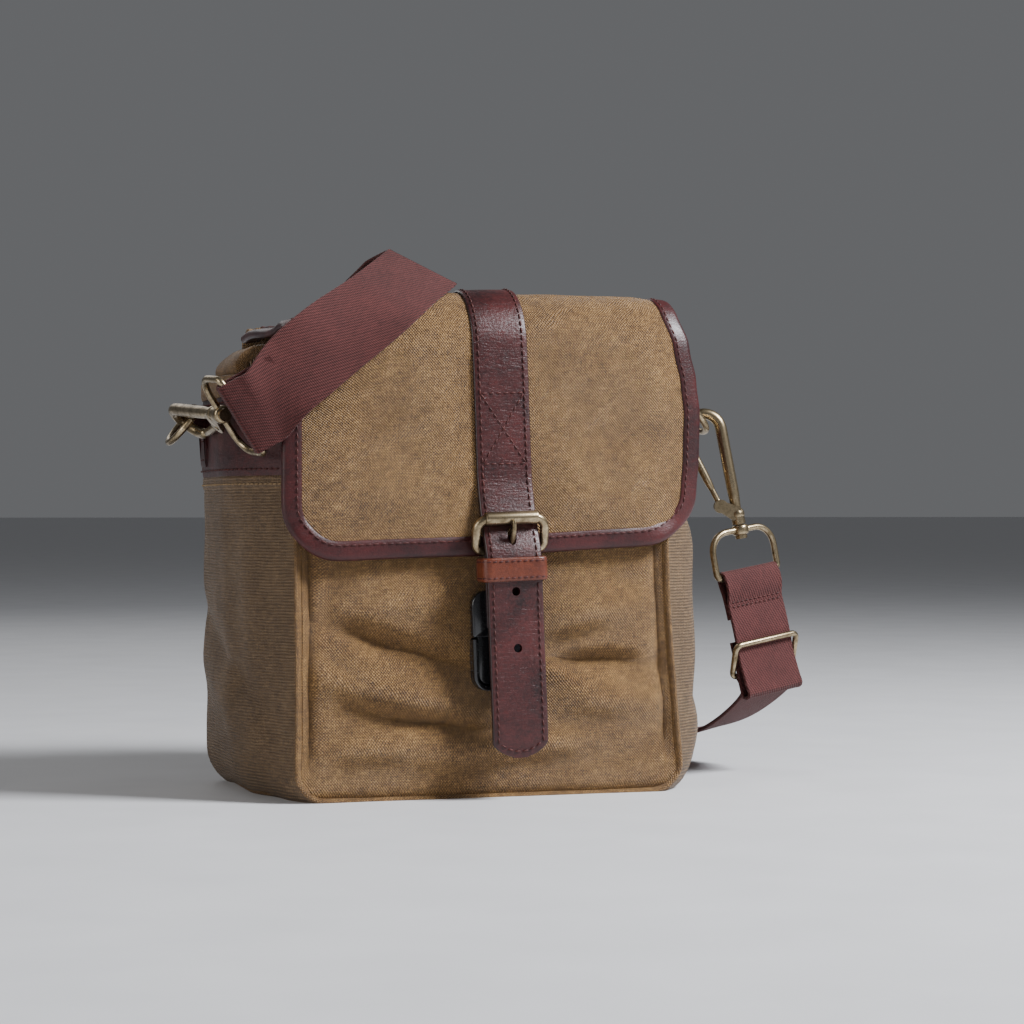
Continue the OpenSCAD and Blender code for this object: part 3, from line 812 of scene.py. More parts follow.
def gusset(side):
    """Soft side that bulges past the front seam on the right and sinks in on the left."""
    name = side_name(side)
    shares = [k / 46 for k in range(47)]
    heights = [0.5, 1.2, 2.4, 4.0, 6.0, 8.6, 11.5] + [15 + 4 * k for k in range(47)] + [202.5, HEM_Z]
    rows = []
    for z in reversed(heights):
        row = []
        for s in shares:
            p, n = side_plan(s)
            middle = step(s, 0.04, 0.25) * (1 - step(s, 0.75, 1.0))
            out = -foot_inset(z, mix(11, 20, middle)) * step(s, 0.0, 0.10)
            if side > 0:
                belly = 6.5 * step(z, -10, 40) * (1 - step(z, 120, 156))
            else:
                belly = -4.0 * (1 - step(z, 0, 120))
            soft = 1 - step(z, 132, 149)
            out += belly * step(s, 0.0, 0.16) * (1 - step(s, 0.55, 0.95)) * soft
            # slack cloth: a soft upright crease and shallow rolls
            out += middle * (-2.6 * exp(-((s - 0.34 - 0.04 * rough((0, 0, z), 60, side)) / 0.09) ** 2)
                             * step(z, 10, 60) * soft)
            out += middle * soft * 1.1 * rough((s * 160, side * 30, z), 34, 5)
            out += middle * 1.6 * exp(-((z - 34 - 60 * (s - 0.3)) / 10) ** 2)
            out -= middle * 2.0 * exp(-((z - 56 - 70 * (s - 0.3)) / 8) ** 2)
            pulled = foot_inset(z, CORNER) * (1 - step(s, 0.0, 0.10))
            row.append(Vector((side * (p.x + n.x * out - pulled + slump(s, z, side)), p.y + n.y * out, z)))
        rows.append(row)
    uv = [[(s * GUSSET_LENGTH, r[0].z) for s in shares] for r in rows]
    obj = slab(f"gusset_{name}_canvas", rows, CANVAS_T, turn=side, uv=uv)
    # the gussets take the canvas copy whose greyer colours are painted side light
    place(paint(obj, SIDE_LIT_CANVAS, LINING), "bag", "canvas", f"gusset_{name}")


def back_panel():
    half = SIDE_X - BACK_R
    xs = [half * (2 * k / 56 - 1) for k in range(57)]
    heights = [0.5, 1.3, 2.6, 4.4, 6.6, 9.2] + [13 + 4.5 * k for k in range(48)] + [BACK_TOP - 0.3]
    rows = []
    for z in reversed(heights):
        row = []
        for x in xs:
            side = 1 - (abs(x) / half) ** 6
            low = step(z, 5, 35)
            out = 2.0 * (1 - (x / half) ** 2) + 0.8 * rough((x, 9, z), 40, 8)
            out = out * side * low * (1 - step(z, 195, 215))
            out += 1.3 * side * low * exp(-((z - 60 + 0.12 * x) / 9) ** 2)
            out -= 1.6 * side * low * exp(-((z - 82 + 0.10 * x) / 8) ** 2)
            row.append(Vector((x, BACK_Y + out - foot_inset(z, 11), z)))
        rows.append(row)
    obj = slab("back_panel_canvas", rows, CANVAS_T, turn=-1, uv=flat_uv(rows))
    place(paint(obj, CANVAS, LINING), "bag", "canvas", "back_panel")


def plan_ring(inset, z, count=14):
    """Closed plan ring of the bag at a height, drawn in by inset."""
    right = []
    for k in range(count * 2 + 1):
        p, n = side_plan(k / (count * 2))
        right.append(Vector((p.x - n.x * inset, p.y - n.y * inset, z)))
    right[0] = Vector((SEAM_X - inset, FRONT_Y + inset, z))
    left = [Vector((-p.x, p.y, p.z)) for p in reversed(right)]
    front = [left[-1].lerp(right[0], k / count) for k in range(1, count)]
    back = [right[-1].lerp(left[0], k / count) for k in range(1, count)]
    return right + back + left + front


def base_panel():
    section = [(60, 2.4), (24, 2.4), (16, 2.4), (13.0, 2.0), (11.6, 1.2), (12.6, 0.25), (16, 0.0), (24, 0.0),
               (60, 0.3)]
    obj = loft("base_panel_canvas", [plan_ring(inset, z) for inset, z in section])
    place(paint(obj, CANVAS), "bag", "canvas", "base_panel")


def liner():
    """Padded tub: up its outer wall, over the mouth and down inside, as (inset, height)."""
    outside = [(50, 3.0), (24, 3.0), (18, 3.6), (13.5, 6), (10, 12), (7.6, 24), (6.8, 60), (5.0, 120),
               (3.4, 182)]
    mouth = [(3.5, 186), (4.6, 188.2), (6.0, 188.7), (7.4, 188.1), (8.6, 186)]
    inside = [(9.0, 182), (9.2, 150), (9.2, 110), (9.2, 70), (10.6, 34), (14, 18), (17.5, 11.4), (21, 9.2),
              (30, 8.7), (50, 8.7)]
    rings = []
    for inset, z in outside + mouth + inside:
        ring = plan_ring(inset, z)
        if 8.5 < inset < 11 and z < 184:
            ring = [p - Vector((*unit(p.xy), 0)) * 0.5 * rough(p, 22, 2) for p in ring]
        rings.append(ring)
    obj = loft("padded_liner_fleece", rings)
    place(paint(obj, LINING), "bag", "lining", "padded_liner")
    # a bound rim of webbing tape runs round the liner's mouth
    frames = line_frames(plan_ring(6.0, 187.6), Vector((0, 0, 1)), closed=True)
    tape = sweep("liner_rim_tape", frames, oval(3.3, 1.7, 12), closed=True)
    place(paint(tape, WEBBING), "bag", "webbing")


def divider(x, name, body):
    """Padded board with a bound edge: flat in the middle, softer to its sides."""
    lo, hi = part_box(name)
    y0, y1 = lo.y / MM + 1.5, hi.y / MM - 1.5
    z0, z1 = lo.z / MM + 0.4, hi.z / MM - 0.6
    half_t, corner = 3.6, 9
    cy, cz = (y0 + y1) / 2, (z0 + z1) / 2
    ry, rz = (y1 - y0) / 2, (z1 - z0) / 2
    outer = []
    for sy, sz, start in ((1, 1, 0), (-1, 1, 90), (-1, -1, 180), (1, -1, 270)):
        for k in range(7):
            a = radians(start + 15 * k)
            outer.append((0, cy + sy * (ry - corner) + corner * cos(a),
                          cz + sz * (rz - corner) + corner * sin(a)))
    dense = resample(outer, 4.0, closed=True)
    centre = Vector((0, cy, cz))
    rings = []
    face = [(0.02, 0.95), (0.4, 1.0), (0.75, 1.0), (0.93, 0.9), (0.97, 0.72), (0.985, 0.80), (1.0, 0.45)]
    for share, bulge in [(share, -bulge) for share, bulge in face] + face[::-1]:
        ring = []
        for p in dense:
            q = centre.lerp(p, share)
            ring.append(Vector((x + bulge * (half_t + 0.25 * rough(q, 18, x)), q.y, q.z)))
        rings.append(ring)
    obj = loft(name + "_fleece", rings)
    place(paint(obj, LINING), body, "lining", name)


def ear(side):
    """Folded canvas wing over the top corner of a gusset."""
    shape = [(97.5, 0), (103, -0.4), (109, -0.4), (115, 0.2), (117.6, 3), (117.8, 6.5), (115.4, 10.8),
             (111, 14.4), (105, 16.4), (99, 16.2), (96.6, 12), (96.4, 5)]
    ring2d = [Vector((x, z, 0)) for x, z in shape]
    ring2d = spline(ring2d + [ring2d[0]], 3)[:-1]
    middle = sum(ring2d, Vector()) / len(ring2d)
    rings = []
    for y, grow in ((-21.5, 0.35), (-21.2, 0.7), (-19.6, 0.9), (-16, 0.97), (-8, 1), (2, 1), (12, 1), (22, 1),
                    (31, 0.98), (36.5, 0.92), (39, 0.75), (39.6, 0.35)):
        ring = []
        for q in ring2d:
            w = middle.lerp(q, grow)
            lift = 1.0 * rough((w.x, y, w.y), 13, 4 + side) * grow
            height = max(0.0, w.y + lift - 0.8 * (grow < 0.5))
            ring.append(Vector((side * (w.x + lift * 0.6), y, SIDE_TOP + 0.3 + height)))
        rings.append(ring if side < 0 else list(reversed(ring)))
    obj = loft(f"ear_{side_name(side)}_canvas", rings)
    place(paint(obj, CANVAS), "bag", "canvas", f"ear_{side_name(side)}")


# ---- Seams, patches and hems ----

def seam_welt():
    """Folded seam allowance that stands proud down both sides of the front panel and along its foot."""
    path = [Vector((-SEAM_X, FRONT_Y, z)) for z in (205, 190, 160, 130, 100, 70, 45, 25, 15)]
    for k in range(0, 91, 15):
        a = radians(k)
        path.append(Vector((-SEAM_X + 13 - 13 * cos(a), FRONT_Y + 1.5 * sin(a), 14 - 13 * sin(a))))
    path += [Vector((x, FRONT_Y + 2.2, 1.0)) for x in (-60, -40, -20)]
    path = path + [Vector((0, FRONT_Y + 2.2, 1.0))] + [Vector((-p.x, p.y, p.z)) for p in reversed(path)]
    pts = resample(spline(path, 6), 3.0)
    pts = [Vector((p.x * seam_x(p.z, p.x) / SEAM_X, p.y, p.z)) for p in pts]
    frames = []
    for k, p in enumerate(pts):
        run = unit(step_past(pts, k))
        side = 1 if p.x > 0 else -1
        corner = step(p.z, 1.5, 14)
        out = square_to(unit((side * 0.62 * corner, -0.78, -0.25 * (1 - corner))), run)
        frames.append((p + out * 0.35 * rough(p, 17, 1), out, out.cross(run)))
    half_ring = [(-2.6, 1.7), (0.8, 1.5), (2.9, 1.35), (3.9, 0.8)]
    ring = [(a, -b) for a, b in half_ring] + [(4.2, 0.0)] + half_ring[::-1]
    obj = sweep("front_seam_welt", frames, ring)
    place(paint(obj, CANVAS), "bag", "canvas")
    # the seam's own stitches, on the front panel just inside the welt
    for side in (-1, 1):
        line = []
        for z in range(18, 116, 6):
            x = side * (seam_x(z, side) - 4.6)
            y = FRONT_Y - front_out(x * SEAM_X / seam_x(z, side), z) - 0.1
            line.append((Vector((x, y, z)), (0, -1, 0)))
        stitches(f"front_seam_stitches_{side_name(side)}", [line], "bag", pitch=3.4, length=2.3, r=0.28,
                 yarn=CANVAS_THREAD)


GUSSET_STEPS = 40


def gusset_line(side, z, s0, s1, out):
    """(point, normal) pairs along a gusset at a height, a distance out of its plan."""
    line = []
    for k in range(GUSSET_STEPS + 1):
        s = mix(s0, s1, k / GUSSET_STEPS)
        p, n = side_plan(s)
        lift = out + 0.35 * rough((s * 180, side, z), 20, 6)
        line.append((Vector((side * (p.x + n.x * lift + slump(s, z, side)), p.y + n.y * lift, z)),
                     Vector((side * n.x, n.y, 0))))
    return line


def band_on_gusset(side, z0, z1, s0, s1, out, thick, name, material, levels=8, edge=0.8):
    """Strip that lies on a gusset, its edges rounded down to the canvas."""
    rows = []
    for i in range(levels + 1):
        near = min(i, levels - i) / levels * (z1 - z0)
        lift = out - edge * (1 - step(near, 0, 1.5))
        rows.append([p for p, _ in gusset_line(side, mix(z1, z0, i / levels), s0, s1, lift)])
    us = [mix(s0, s1, k / GUSSET_STEPS) * GUSSET_LENGTH for k in range(GUSSET_STEPS + 1)]
    obj = slab(name, rows, thick, turn=side, uv=[[(u, r[0].z) for u in us] for r in rows])
    return paint(obj, material, material)


def side_patch(side):
    """Leather patch across the top of a gusset, between the canvas hem below it and the one above."""
    name = side_name(side)
    obj = band_on_gusset(side, 158, 197, 0.045, 0.93, 2.0, 1.5, f"side_patch_{name}_leather", LEATHER)
    place(obj, "bag", "leather", f"side_patch_{name}")
    lines = [gusset_line(side, z, 0.06, 0.92, 3.65) for z in (160.8, 194.2)]
    stitches(f"side_patch_{name}_stitches", lines, "bag")
    # the gusset hems take the same canvas copy, greyer for painted side light
    hem = band_on_gusset(side, 150.8, 158.4, 0.03, 0.96, 1.75, 1.1, f"gusset_{name}_hem", SIDE_LIT_CANVAS,
                         edge=1.0)
    place(hem, "bag", "canvas")
    stitches(f"gusset_{name}_hem_stitches", [gusset_line(side, 153.6, 0.05, 0.95, 3.0)], "bag", pitch=3.2,
             length=2.4, yarn=CANVAS_THREAD)
    top = band_on_gusset(side, 198.0, 206.4, 0.0, 0.98, 0.7, 3.2, f"gusset_{name}_top_hem", CANVAS, levels=6,
                         edge=0.4)
    place(top, "bag", "canvas")


# ---- Flap ----

FLAP_T = 3.0
FLAP_Y = FRONT_Y - 5.7   # outer face of the flap's hanging part
ARC_R = 25.0
ARC_Y = FLAP_Y + ARC_R
SLOPE_DEG = 6
SLOPE = radians(SLOPE_DEG)
ARC_Z = CROWN - ARC_R * cos(SLOPE)
TOP_Y = 57.0             # where the flap starts at the back
FLAP_N = 73              # points across the flap


def share_at(k):
    """Grid columns, closer together near the sides."""
    t = 2 * k / (FLAP_N - 1) - 1
    return sin(t * pi / 2) * 0.35 + t * 0.65


def flap_side_line():
    """(y, z) of the flap's outer face from the hinge over the shoulder to the front, even steps."""
    pts = [Vector((TOP_Y, CROWN - (TOP_Y - ARC_Y) * tan(SLOPE), 0))]
    for k in range(17):
        a = radians(mix(90 - SLOPE_DEG, 180, k / 16))
        pts.append(Vector((ARC_Y + ARC_R * cos(a), ARC_Z + ARC_R * sin(a), 0)))
    return pts


def right_edge(z):
    return table(z, [(118, 107), (145, 109.5), (165, 111), (187, 111.5), (205, 109.5), (222, 106),
                     (238, 101.5), (246, 100)])


def left_edge(z):
    return table(z, [(118, -101), (150, -102), (190, -102), (215, -101), (238, -99.5), (246, -99)])


def flap_foot(x):
    """Height of the flap's front edge: a little higher on the right."""
    return 119.6 + 0.042 * x - 0.9 * exp(-((x - 9) / 30) ** 2)


def flap_sag(share, y):
    """How far the flap's upper left hangs down under the webbing."""
    return 15 * step(-share, 0.42, 1.02) * mix(1.0, 0.3, step(y, -30, 55))


def flap_surface(x, y, z, share):
    """Soft shape of the flap's outer face. share is -1 to 1 from the left edge to the right one."""
    front = 1 - step(y, -62, -30)
    dome = 1.5 * (1 - share ** 2) * front * step(z, 118, 150)
    out = dome + 0.55 * rough((x, y * 0.5, z), 30, 11) * (1 - share ** 4)
    out += front * (1 - share ** 4) * fold_sum(x, z, FLAP_FOLDS)
    # pressed under the closure strap
    pressed = 1 - step(abs(x - strap_x(z)), 15, 36)
    out = mix(out, -0.3, pressed)
    curl = step(share, 0.72, 1.0) * 5.5 + step(-share, 0.76, 1.0) * 3.5
    drop = (step(share, 0.80, 1.0) * 2.5 + step(-share, 0.80, 1.0) * 3.0) * (1 - front)
    top = step(y, -62, -36)
    z2 = z + out * top - drop - flap_sag(share, y) * step(z, 150, 236)
    return Vector((x, y - out * (1 - top) + curl * (1 - top) * step(z, 120, 135), z2))


FLAP_FOLDS = [
    (62, 205, 38, 12, -8, 1.0),
    (66, 176, 40, 10, 6, -1.1),
    (-50, 150, 44, 10, 8, 0.9),
    (60, 145, 36, 9, -5, 0.8),
    (40, 222, 30, 9, 24, -0.8),
    (78, 158, 26, 7, -30, 0.8),
    (-66, 176, 30, 9, 40, -0.8),
]


def flap_rows(inset):
    """Grid of the flap's outer face, hinge to front edge, drawn in by inset."""
    line = flap_side_line()
    top_arc = line[-1].y
    corner = 27.0 - inset
    foot_mid = flap_foot(0) + inset
    shares = [share_at(k) for k in range(FLAP_N)]
    rows = []
    for p in resample(line, 4.0):
        half_r, half_l = right_edge(p.y) - inset, left_edge(p.y) + inset
        rows.append([(mix(half_l, half_r, (share + 1) / 2), p.x, p.y) for share in shares])
    downs = [k / 22 for k in range(1, 17)]
    downs += [0.765, 0.80, 0.83, 0.86, 0.885, 0.91, 0.93, 0.95, 0.966, 0.98, 0.99, 0.996, 1.0]
    for d in downs:
        # the lower corners are round: the row narrows as it nears the foot
        z_mid = mix(top_arc, foot_mid, d)
        cut = foot_inset(z_mid - foot_mid, corner)
        half_r, half_l = right_edge(z_mid) - inset - cut, left_edge(z_mid) + inset + cut
        xs = [mix(half_l, half_r, (share + 1) / 2) for share in shares]
        rows.append([(x, FLAP_Y, mix(top_arc, flap_foot(x) + inset, d)) for x in xs])
    out = []
    for row in rows:
        line = []
        for x, y, z in row:
            share = 2 * (x - left_edge(z)) / (right_edge(z) - left_edge(z)) - 1
            line.append(flap_surface(x, y, z, max(-1, min(1, share))))
        out.append(line)
    return out


def flap():
    """Canvas flap with leather binding round its sides and front edge."""
    rows = flap_rows(2.0)
    uv = []
    v = 0.0
    middle = FLAP_N // 2
    for i, row in enumerate(rows):
        if i:
            v += (row[middle] - rows[i - 1][middle]).length
        uv.append([(p.x, -v) for p in row])
    obj = slab("flap_canvas", rows, FLAP_T, turn=1, uv=uv)
    place(paint(obj, CANVAS, LINING), "flap", "canvas", "flap_shell")

    edge = flap_rows(0.0)
    normals = grid_normals(edge)
    n = len(edge)
    loop = [(i, 0) for i in range(n)] + [(n - 1, j) for j in range(1, FLAP_N)]
    loop += [(i, FLAP_N - 1) for i in range(n - 2, -1, -1)]
    pts, ups = [], []
    for i, j in loop:
        # the normal a little inside the edge is steadier than the one on it
        ii, jj = min(i, n - 3), min(max(j, 2), FLAP_N - 3)
        ups.append(normals[ii][jj])
        pts.append(edge[i][j] - normals[ii][jj] * FLAP_T / 2)
    smooth_pts = resample(pts, 3.0)
    smooth_ups = []
    k = 0
    for p in smooth_pts:
        best = min(range(max(0, k - 3), min(len(pts), k + 14)), key=lambda q: (pts[q] - p).length)
        k = best
        smooth_ups.append(ups[best])
    last = len(smooth_ups) - 1
    for _ in range(3):
        smooth_ups = [unit(smooth_ups[max(q - 1, 0)] + up * 2 + smooth_ups[min(q + 1, last)])
                      for q, up in enumerate(smooth_ups)]
    frames = line_frames(smooth_pts, smooth_ups)
    # across points to the inside of the flap
    inside = Vector((0, -60, 180))
    at, across, _ = frames[len(frames) // 2]
    if (inside - at).dot(across) < 0:
        frames = [(p, -a, u) for p, a, u in frames]
    high = FLAP_T / 2 + 0.85
    ring = [(9.6, 0.35 * high), (9.5, 0.8 * high), (9.0, high), (6.5, high), (4.0, high), (2.2, high * 0.98),
            (0.9, high * 0.86), (0.1, high * 0.55), (-0.25, 0), (0.1, -high * 0.55), (0.9, -high * 0.86),
            (2.2, -high), (4.0, -high), (6.5, -high), (9.0, -high), (9.5, -0.8 * high), (9.6, -0.35 * high)]
    obj = sweep("flap_binding_leather", frames, ring, sharp=60)
    place(paint(obj, BINDING), "flap", "leather", "flap_binding")
    line = [(p + a * 7.3 + u * high, u) for p, a, u in frames]
    under = [(p + a * 7.3 - u * high, -u) for p, a, u in frames]
    stitches("flap_binding_stitches", [line, under], "flap", skip=3)


def hinge_canvas():
    """Canvas that runs up the back panel and over onto the flap."""
    up = [(1.4, 190), (1.2, 205), (1.0, 218), (0.6, 227), (-1.6, 234.2), (-7.5, 237.6)]
    path = [(0, BACK_Y + out, z) for out, z in up] + [(0, 50, 239.0), (0, 42, 239.9), (0, 34, 240.7)]
    pts = resample(spline(path, 6), 2.0)
    rows = []
    for p in pts:
        row = []
        for k in range(41):
            x = 96.0 * (2 * k / 40 - 1)
            sag = flap_sag(x / 100, p.y) * step(-p.y, -64, -50)
            row.append(Vector((x, p.y + 0.25 * rough((x, 0, p.z), 20, 2) * (p.z < 220), p.z - sag)))
        rows.append(row)
    uv = [[(p.x, i * 2.0) for p in r] for i, r in enumerate(rows)]
    obj = slab("flap_hinge_canvas", rows, 1.5, turn=-1, uv=uv)
    place(paint(obj, CANVAS, CANVAS), None, "canvas")
    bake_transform(obj)
    xs = range(-94, 95, 4)
    low = [[(Vector((x, BACK_Y + out, z)), (0, 1, 0)) for x in xs] for out, z in ((1.7, 193.5), (1.6, 200))]
    stitches("back_seam_stitches", low, "bag", r=0.36)
    high = [(Vector((x, 37.5, 240.7 - flap_sag(x / 100, 37.5))), (0, 0.1, 1)) for x in xs]
    stitches("flap_seam_stitches", [high], "flap", r=0.36)


# ---- Closure ----

STRAP_HALF = 14.0
STRAP_T = 3.2
TAIL_Y = -76.2           # middle of the hanging tail
TIP_Z = 21.0
TIP_R = STRAP_HALF + 4   # the blunt tip's radius


def strap_line():
    """(y, z) of the closure strap's middle."""
    off = STRAP_T / 2 + 0.6
    pts = []
    for p in flap_side_line()[1:]:
        d = unit((p.x - ARC_Y, p.y - ARC_Z))
        lift = off + 0.7 * max(d.y, 0)
        pts.append(Vector((0, p.x + d.x * lift, p.y + d.y * lift)))
    pts = [pts[0] + Vector((0, t, -t * tan(SLOPE))) for t in (60, 45, 30, 15)] + pts
    front = pts[-1].y
    pts += [(0, front - 0.5, z) for z in (210, 198, 186, 174, 164)]
    pts += [(0, front - 0.7, 156), (0, -66.3, 147), (0, -68.3, 139), (0, -71.6, 130), (0, -75.2, 121),
            (0, TAIL_Y - 0.2, 113)]
    pts += [(0, TAIL_Y - 0.3 * sin((z - 20) / 14), z) for z in (104, 94, 82, 70, 58, 46, 34)]
    pts += [(0, TAIL_Y + 0.8, TIP_Z)]
    return resample(spline(pts, 5), 2.0)


def strap_half(z):
    """Half width of the strap near its blunt round tip."""
    d = z - TIP_Z
    if d < TIP_R:
        return max(min(STRAP_HALF, sqrt(max(TIP_R * TIP_R - (TIP_R - d) ** 2, 0))), 4.0)
    return STRAP_HALF


def closure_strap():
    """Leather strap from the top of the flap to its tip, with punched holes and its sewing."""
    mids = strap_line()
    tip = mids.index(min(mids, key=lambda p: p.z))
    mids = mids[:tip + 1]
    fine = [p for p in mids if p.z > TIP_Z + 10 or p.y > -50]
    last = fine[-1]
    for d in (8.5, 7, 5.6, 4.4, 3.3, 2.4, 1.6, 0.9, 0.4, 0.1):
        t = (last.z - (TIP_Z + d)) / (last.z - TIP_Z)
        fine.append(last.lerp(Vector((0, TAIL_Y + 0.8, TIP_Z)), t))
    frames = []
    for k, p in enumerate(fine):
        n = unit(Vector((1, 0, 0)).cross(step_past(fine, k)))
        if n.z < -0.2 or (abs(n.z) < 0.3 and n.y > 0):
            n = -n
        frames.append((leaning(*p), LEAN_ACROSS, unit(n)))
    halves = [strap_half(p.z) if p.y < -60 else STRAP_HALF for p in fine]
    shapes = [rounded(h, STRAP_T / 2, 1.0, columns=8, crown=0.25) for h in halves]
    obj = paint(sweep("closure_strap_leather", frames, lambda k: shapes[k], edge_from=0.93), LEATHER, EDGE)
    holes = [(leaning(0, TAIL_Y, z), 2.1, 2.1, 8, 20) for z in (101.5, 74.0)]
    prong_slot = (leaning(0, -71, 128.5), 2.3, 4.6, 9, 20)
    punch(obj, holes + [prong_slot])
    place(obj, "flap", "leather", "closure_strap")

    # sewn down both edges, round the tip and in a box with a cross on the flap
    lines = []
    for side in (-1, 1):
        row = []
        for (p, a, n), h in zip(frames, halves):
            if h < STRAP_HALF - 0.01:
                break
            row.append((p + a * (side * (h - 2.7)) + n * (STRAP_T / 2 + 0.25), n))
        lines.append(row)
    r = TIP_R - 3.0
    tip_line = []
    for k in range(-8, 9):
        a = radians(k * 5.4)
        tip_line.append((leaning(r * sin(a), TAIL_Y - STRAP_T / 2, TIP_Z + TIP_R - r * cos(a)), (0, -1, 0)))
    lines.append(tip_line)
    top, bottom, half = 198.0, 163.5, 11
    y_face = FLAP_Y - STRAP_T - 1.25
    box = [leaning(x, y_face, z) for x, z in ((-half, top), (half, top), (half, bottom), (-half, bottom))]
    for a, b in ((0, 1), (3, 2), (0, 2), (1, 3)):
        lines.append([(box[a].lerp(box[b], t / 8), (0, -1, 0)) for t in range(9)])
    stitches("closure_strap_stitches", lines, "flap")


def keeper():
    """Leather loop that holds the strap's tail."""
    z0, z1 = 106.5, 118.0
    half, front, back, r = 15.4, -79.2, -65.3, 2.6
    corners = [(-half, front), (half, front), (half, back), (-half, back)]
    pts = []
    for (cx, cy), start in zip(corners, (180, 270, 0, 90)):
        ox = cx + (r if cx < 0 else -r)
        oy = cy + (r if cy < -70 else -r)
        for k in range(5):
            a = radians(start + 22.5 * k)
            pts.append(Vector((ox + r * cos(a), oy + r * sin(a), (z0 + z1) / 2)))
    dense = resample(pts, 1.6, closed=True)
    frames = []
    for k, p in enumerate(dense):
        along = unit(step_past(dense, k, closed=True))
        frames.append((leaning(*p), LEAN_UP, along.cross(Vector((0, 0, 1)))))
    ring = rounded((z1 - z0) / 2, 1.0, 0.8, columns=5, crown=0.2)
    obj = sweep("strap_keeper_leather", frames, ring, closed=True)
    place(paint(obj, TAN), "flap", "tan_leather", "strap_keeper")
    lines = []
    for side in (-1, 1):
        row = [(p + a * (side * 4.0) + n * 1.15, n) for p, a, n in frames if p.y < -68]
        row.sort(key=lambda q: q[0].x)
        lines.append(row)
    stitches("strap_keeper_stitches", lines, "flap", pitch=3.1, length=2.3, r=0.36, skip=1.0)


def plate(name, outline, y0, y1, bevel, material, body, slot, *nodes):
    """Flat leaning plate of an (x, z) outline with rounded edges."""
    m = len(outline)
    verts = [leaning(*Vector((x, y, z))) for y in (y0, y1) for x, z in outline]
    faces = [tuple(range(m)), tuple(range(2 * m - 1, m - 1, -1))]
    for k in range(m):
        q = (k + 1) % m
        faces.append((q, k, m + k, m + q))
    obj = make(name, verts, faces)
    mod = obj.modifiers.new("bevel", "BEVEL")
    mod.width = bevel * MM
    mod.segments = 3
    mod.limit_method = "ANGLE"
    mod.angle_limit = radians(40)
    return place(paint(applied(obj), material), body, slot, *nodes)


def round_rect(x0, z0, x1, z1, r_low, r_high, steps=6):
    """Outline of a rectangle with one radius at its lower corners and one at its upper ones."""
    out = []
    corners = (x1, z0, r_low, 270), (x1, z1, r_high, 0), (x0, z1, r_high, 90), (x0, z0, r_low, 180)
    for cx, cz, r, start in corners:
        ox = cx - r if cx == x1 else cx + r
        oz = cz + r if cz == z0 else cz - r
        for k in range(steps + 1):
            a = radians(start + 90 * k / steps)
            out.append((ox + r * cos(a), oz + r * sin(a)))
    return out


def clip():
    """Two-part snap behind the closure strap: the lower half's plate and rim, and the upper half."""
    half, shift, z0, split, z1 = 16.5, -2.5, 53.0, 79.0, 102.0
    left, right = shift - half, shift + half
    lower = round_rect(left, z0, right, split, 7, 1.2)
    plate("clip_base_plate", lower, -60.4, -58.4, 0.6, BLACK, "bag", "clip_plastic", "clip_base")
    # its rim: round the bottom and up both sides
    rim_half, rim_y = 1.2, -63.0
    path = round_rect(left + rim_half, z0 + rim_half, right - rim_half, split, 6, 0.1)
    path = [Vector((x, rim_y, z)) for x, z in path if z < split - 0.5]
    path.sort(key=lambda p: atan2(p.x - shift, (split - p.z) + 0.01))
    ends = [Vector((x, rim_y, split - 0.6)) for x in (left + rim_half, right - rim_half)]
    path = ends[:1] + path + ends[1:]
    frames = line_frames([leaning(*p) for p in resample(path, 1.5)], Vector((0, -1, 0)))
    rim = sweep("clip_base_rim", frames, rounded(rim_half, 2.8, 0.7, columns=3))
    place(paint(rim, BLACK), "bag", "clip_plastic")
    upper = round_rect(left, split + 0.3, right, z1, 1.4, 7)
    plate("clip_top_plate", upper, -66.0, -60.5, 1.2, BLACK, "flap", "clip_plastic", "clip_top")
    tongue = round_rect(left + 2.8, z0 + 3.4, right - 2.8, split + 1, 4.5, 0.3)
    plate("clip_top_tongue", tongue, -64.6, -60.8, 0.8, BLACK, "flap", "clip_plastic")
    for k in range(4):
        z = split + 5.0 + 2.6 * k
        bar = [leaning(shift + mix(-11, 11, t / 8), -66.1, z) for t in range(9)]
        rib = tube(f"clip_top_grip_{k + 1}", bar, [0.35] + [0.7] * 7 + [0.35], sides=8)
        place(paint(rib, BLACK), "flap", "clip_plastic")


def chape():
    """Leather loop from the buckle's heel bar to the clip."""
    heel = Vector((0, -69, 121.5))
    path = [Vector((0, -66.9, 84)), Vector((0, -66.7, 100)), Vector((0, -66.1, 114))]
    for k in range(9):
        a = radians(mix(0, 180, k / 8))
        path.append(heel + Vector((0, 2.9 * cos(a), 2.9 * sin(a))))
    path += [Vector((0, -69.6, 112)), Vector((0, -69.4, 100)), Vector((0, -69.4, 84))]
    frames = [(leaning(*p), a, n) for p, a, n in turned_frames(resample(spline(path, 4), 1.6), LEAN_ACROSS)]
    obj = sweep("clip_chape_leather", frames, rounded(12, 0.8, 0.6, columns=5), edge_from=0.93)
    paint(obj, LEATHER, EDGE)
    punch(obj, [(leaning(0, -69, 123.2), 2.7, 4.6, 9, 16)])
    place(obj, "flap", "leather", "clip_chape")


def anchor_tab():
    """Leather tab that holds the clip's lower half."""
    outline = round_rect(-13, 46, 13, 106, 4, 2)
    plate("anchor_tab_leather", outline, -58.2, -56.1, 0.7, LEATHER, "bag", "leather", "anchor_tab")
    rect = [leaning(x, -58.3, z) for x, z in ((-10.6, 50), (10.6, 50), (10.6, 56), (-10.6, 56))]
    lines = [[(rect[k - 1].lerp(rect[k], t / 6), (0, -1, 0)) for t in range(7)] for k in (1, 2, 3, 0)]
    stitches("anchor_tab_stitches", lines, "bag", pitch=3.3, length=2.5)


# ---- Shoulder strap ----

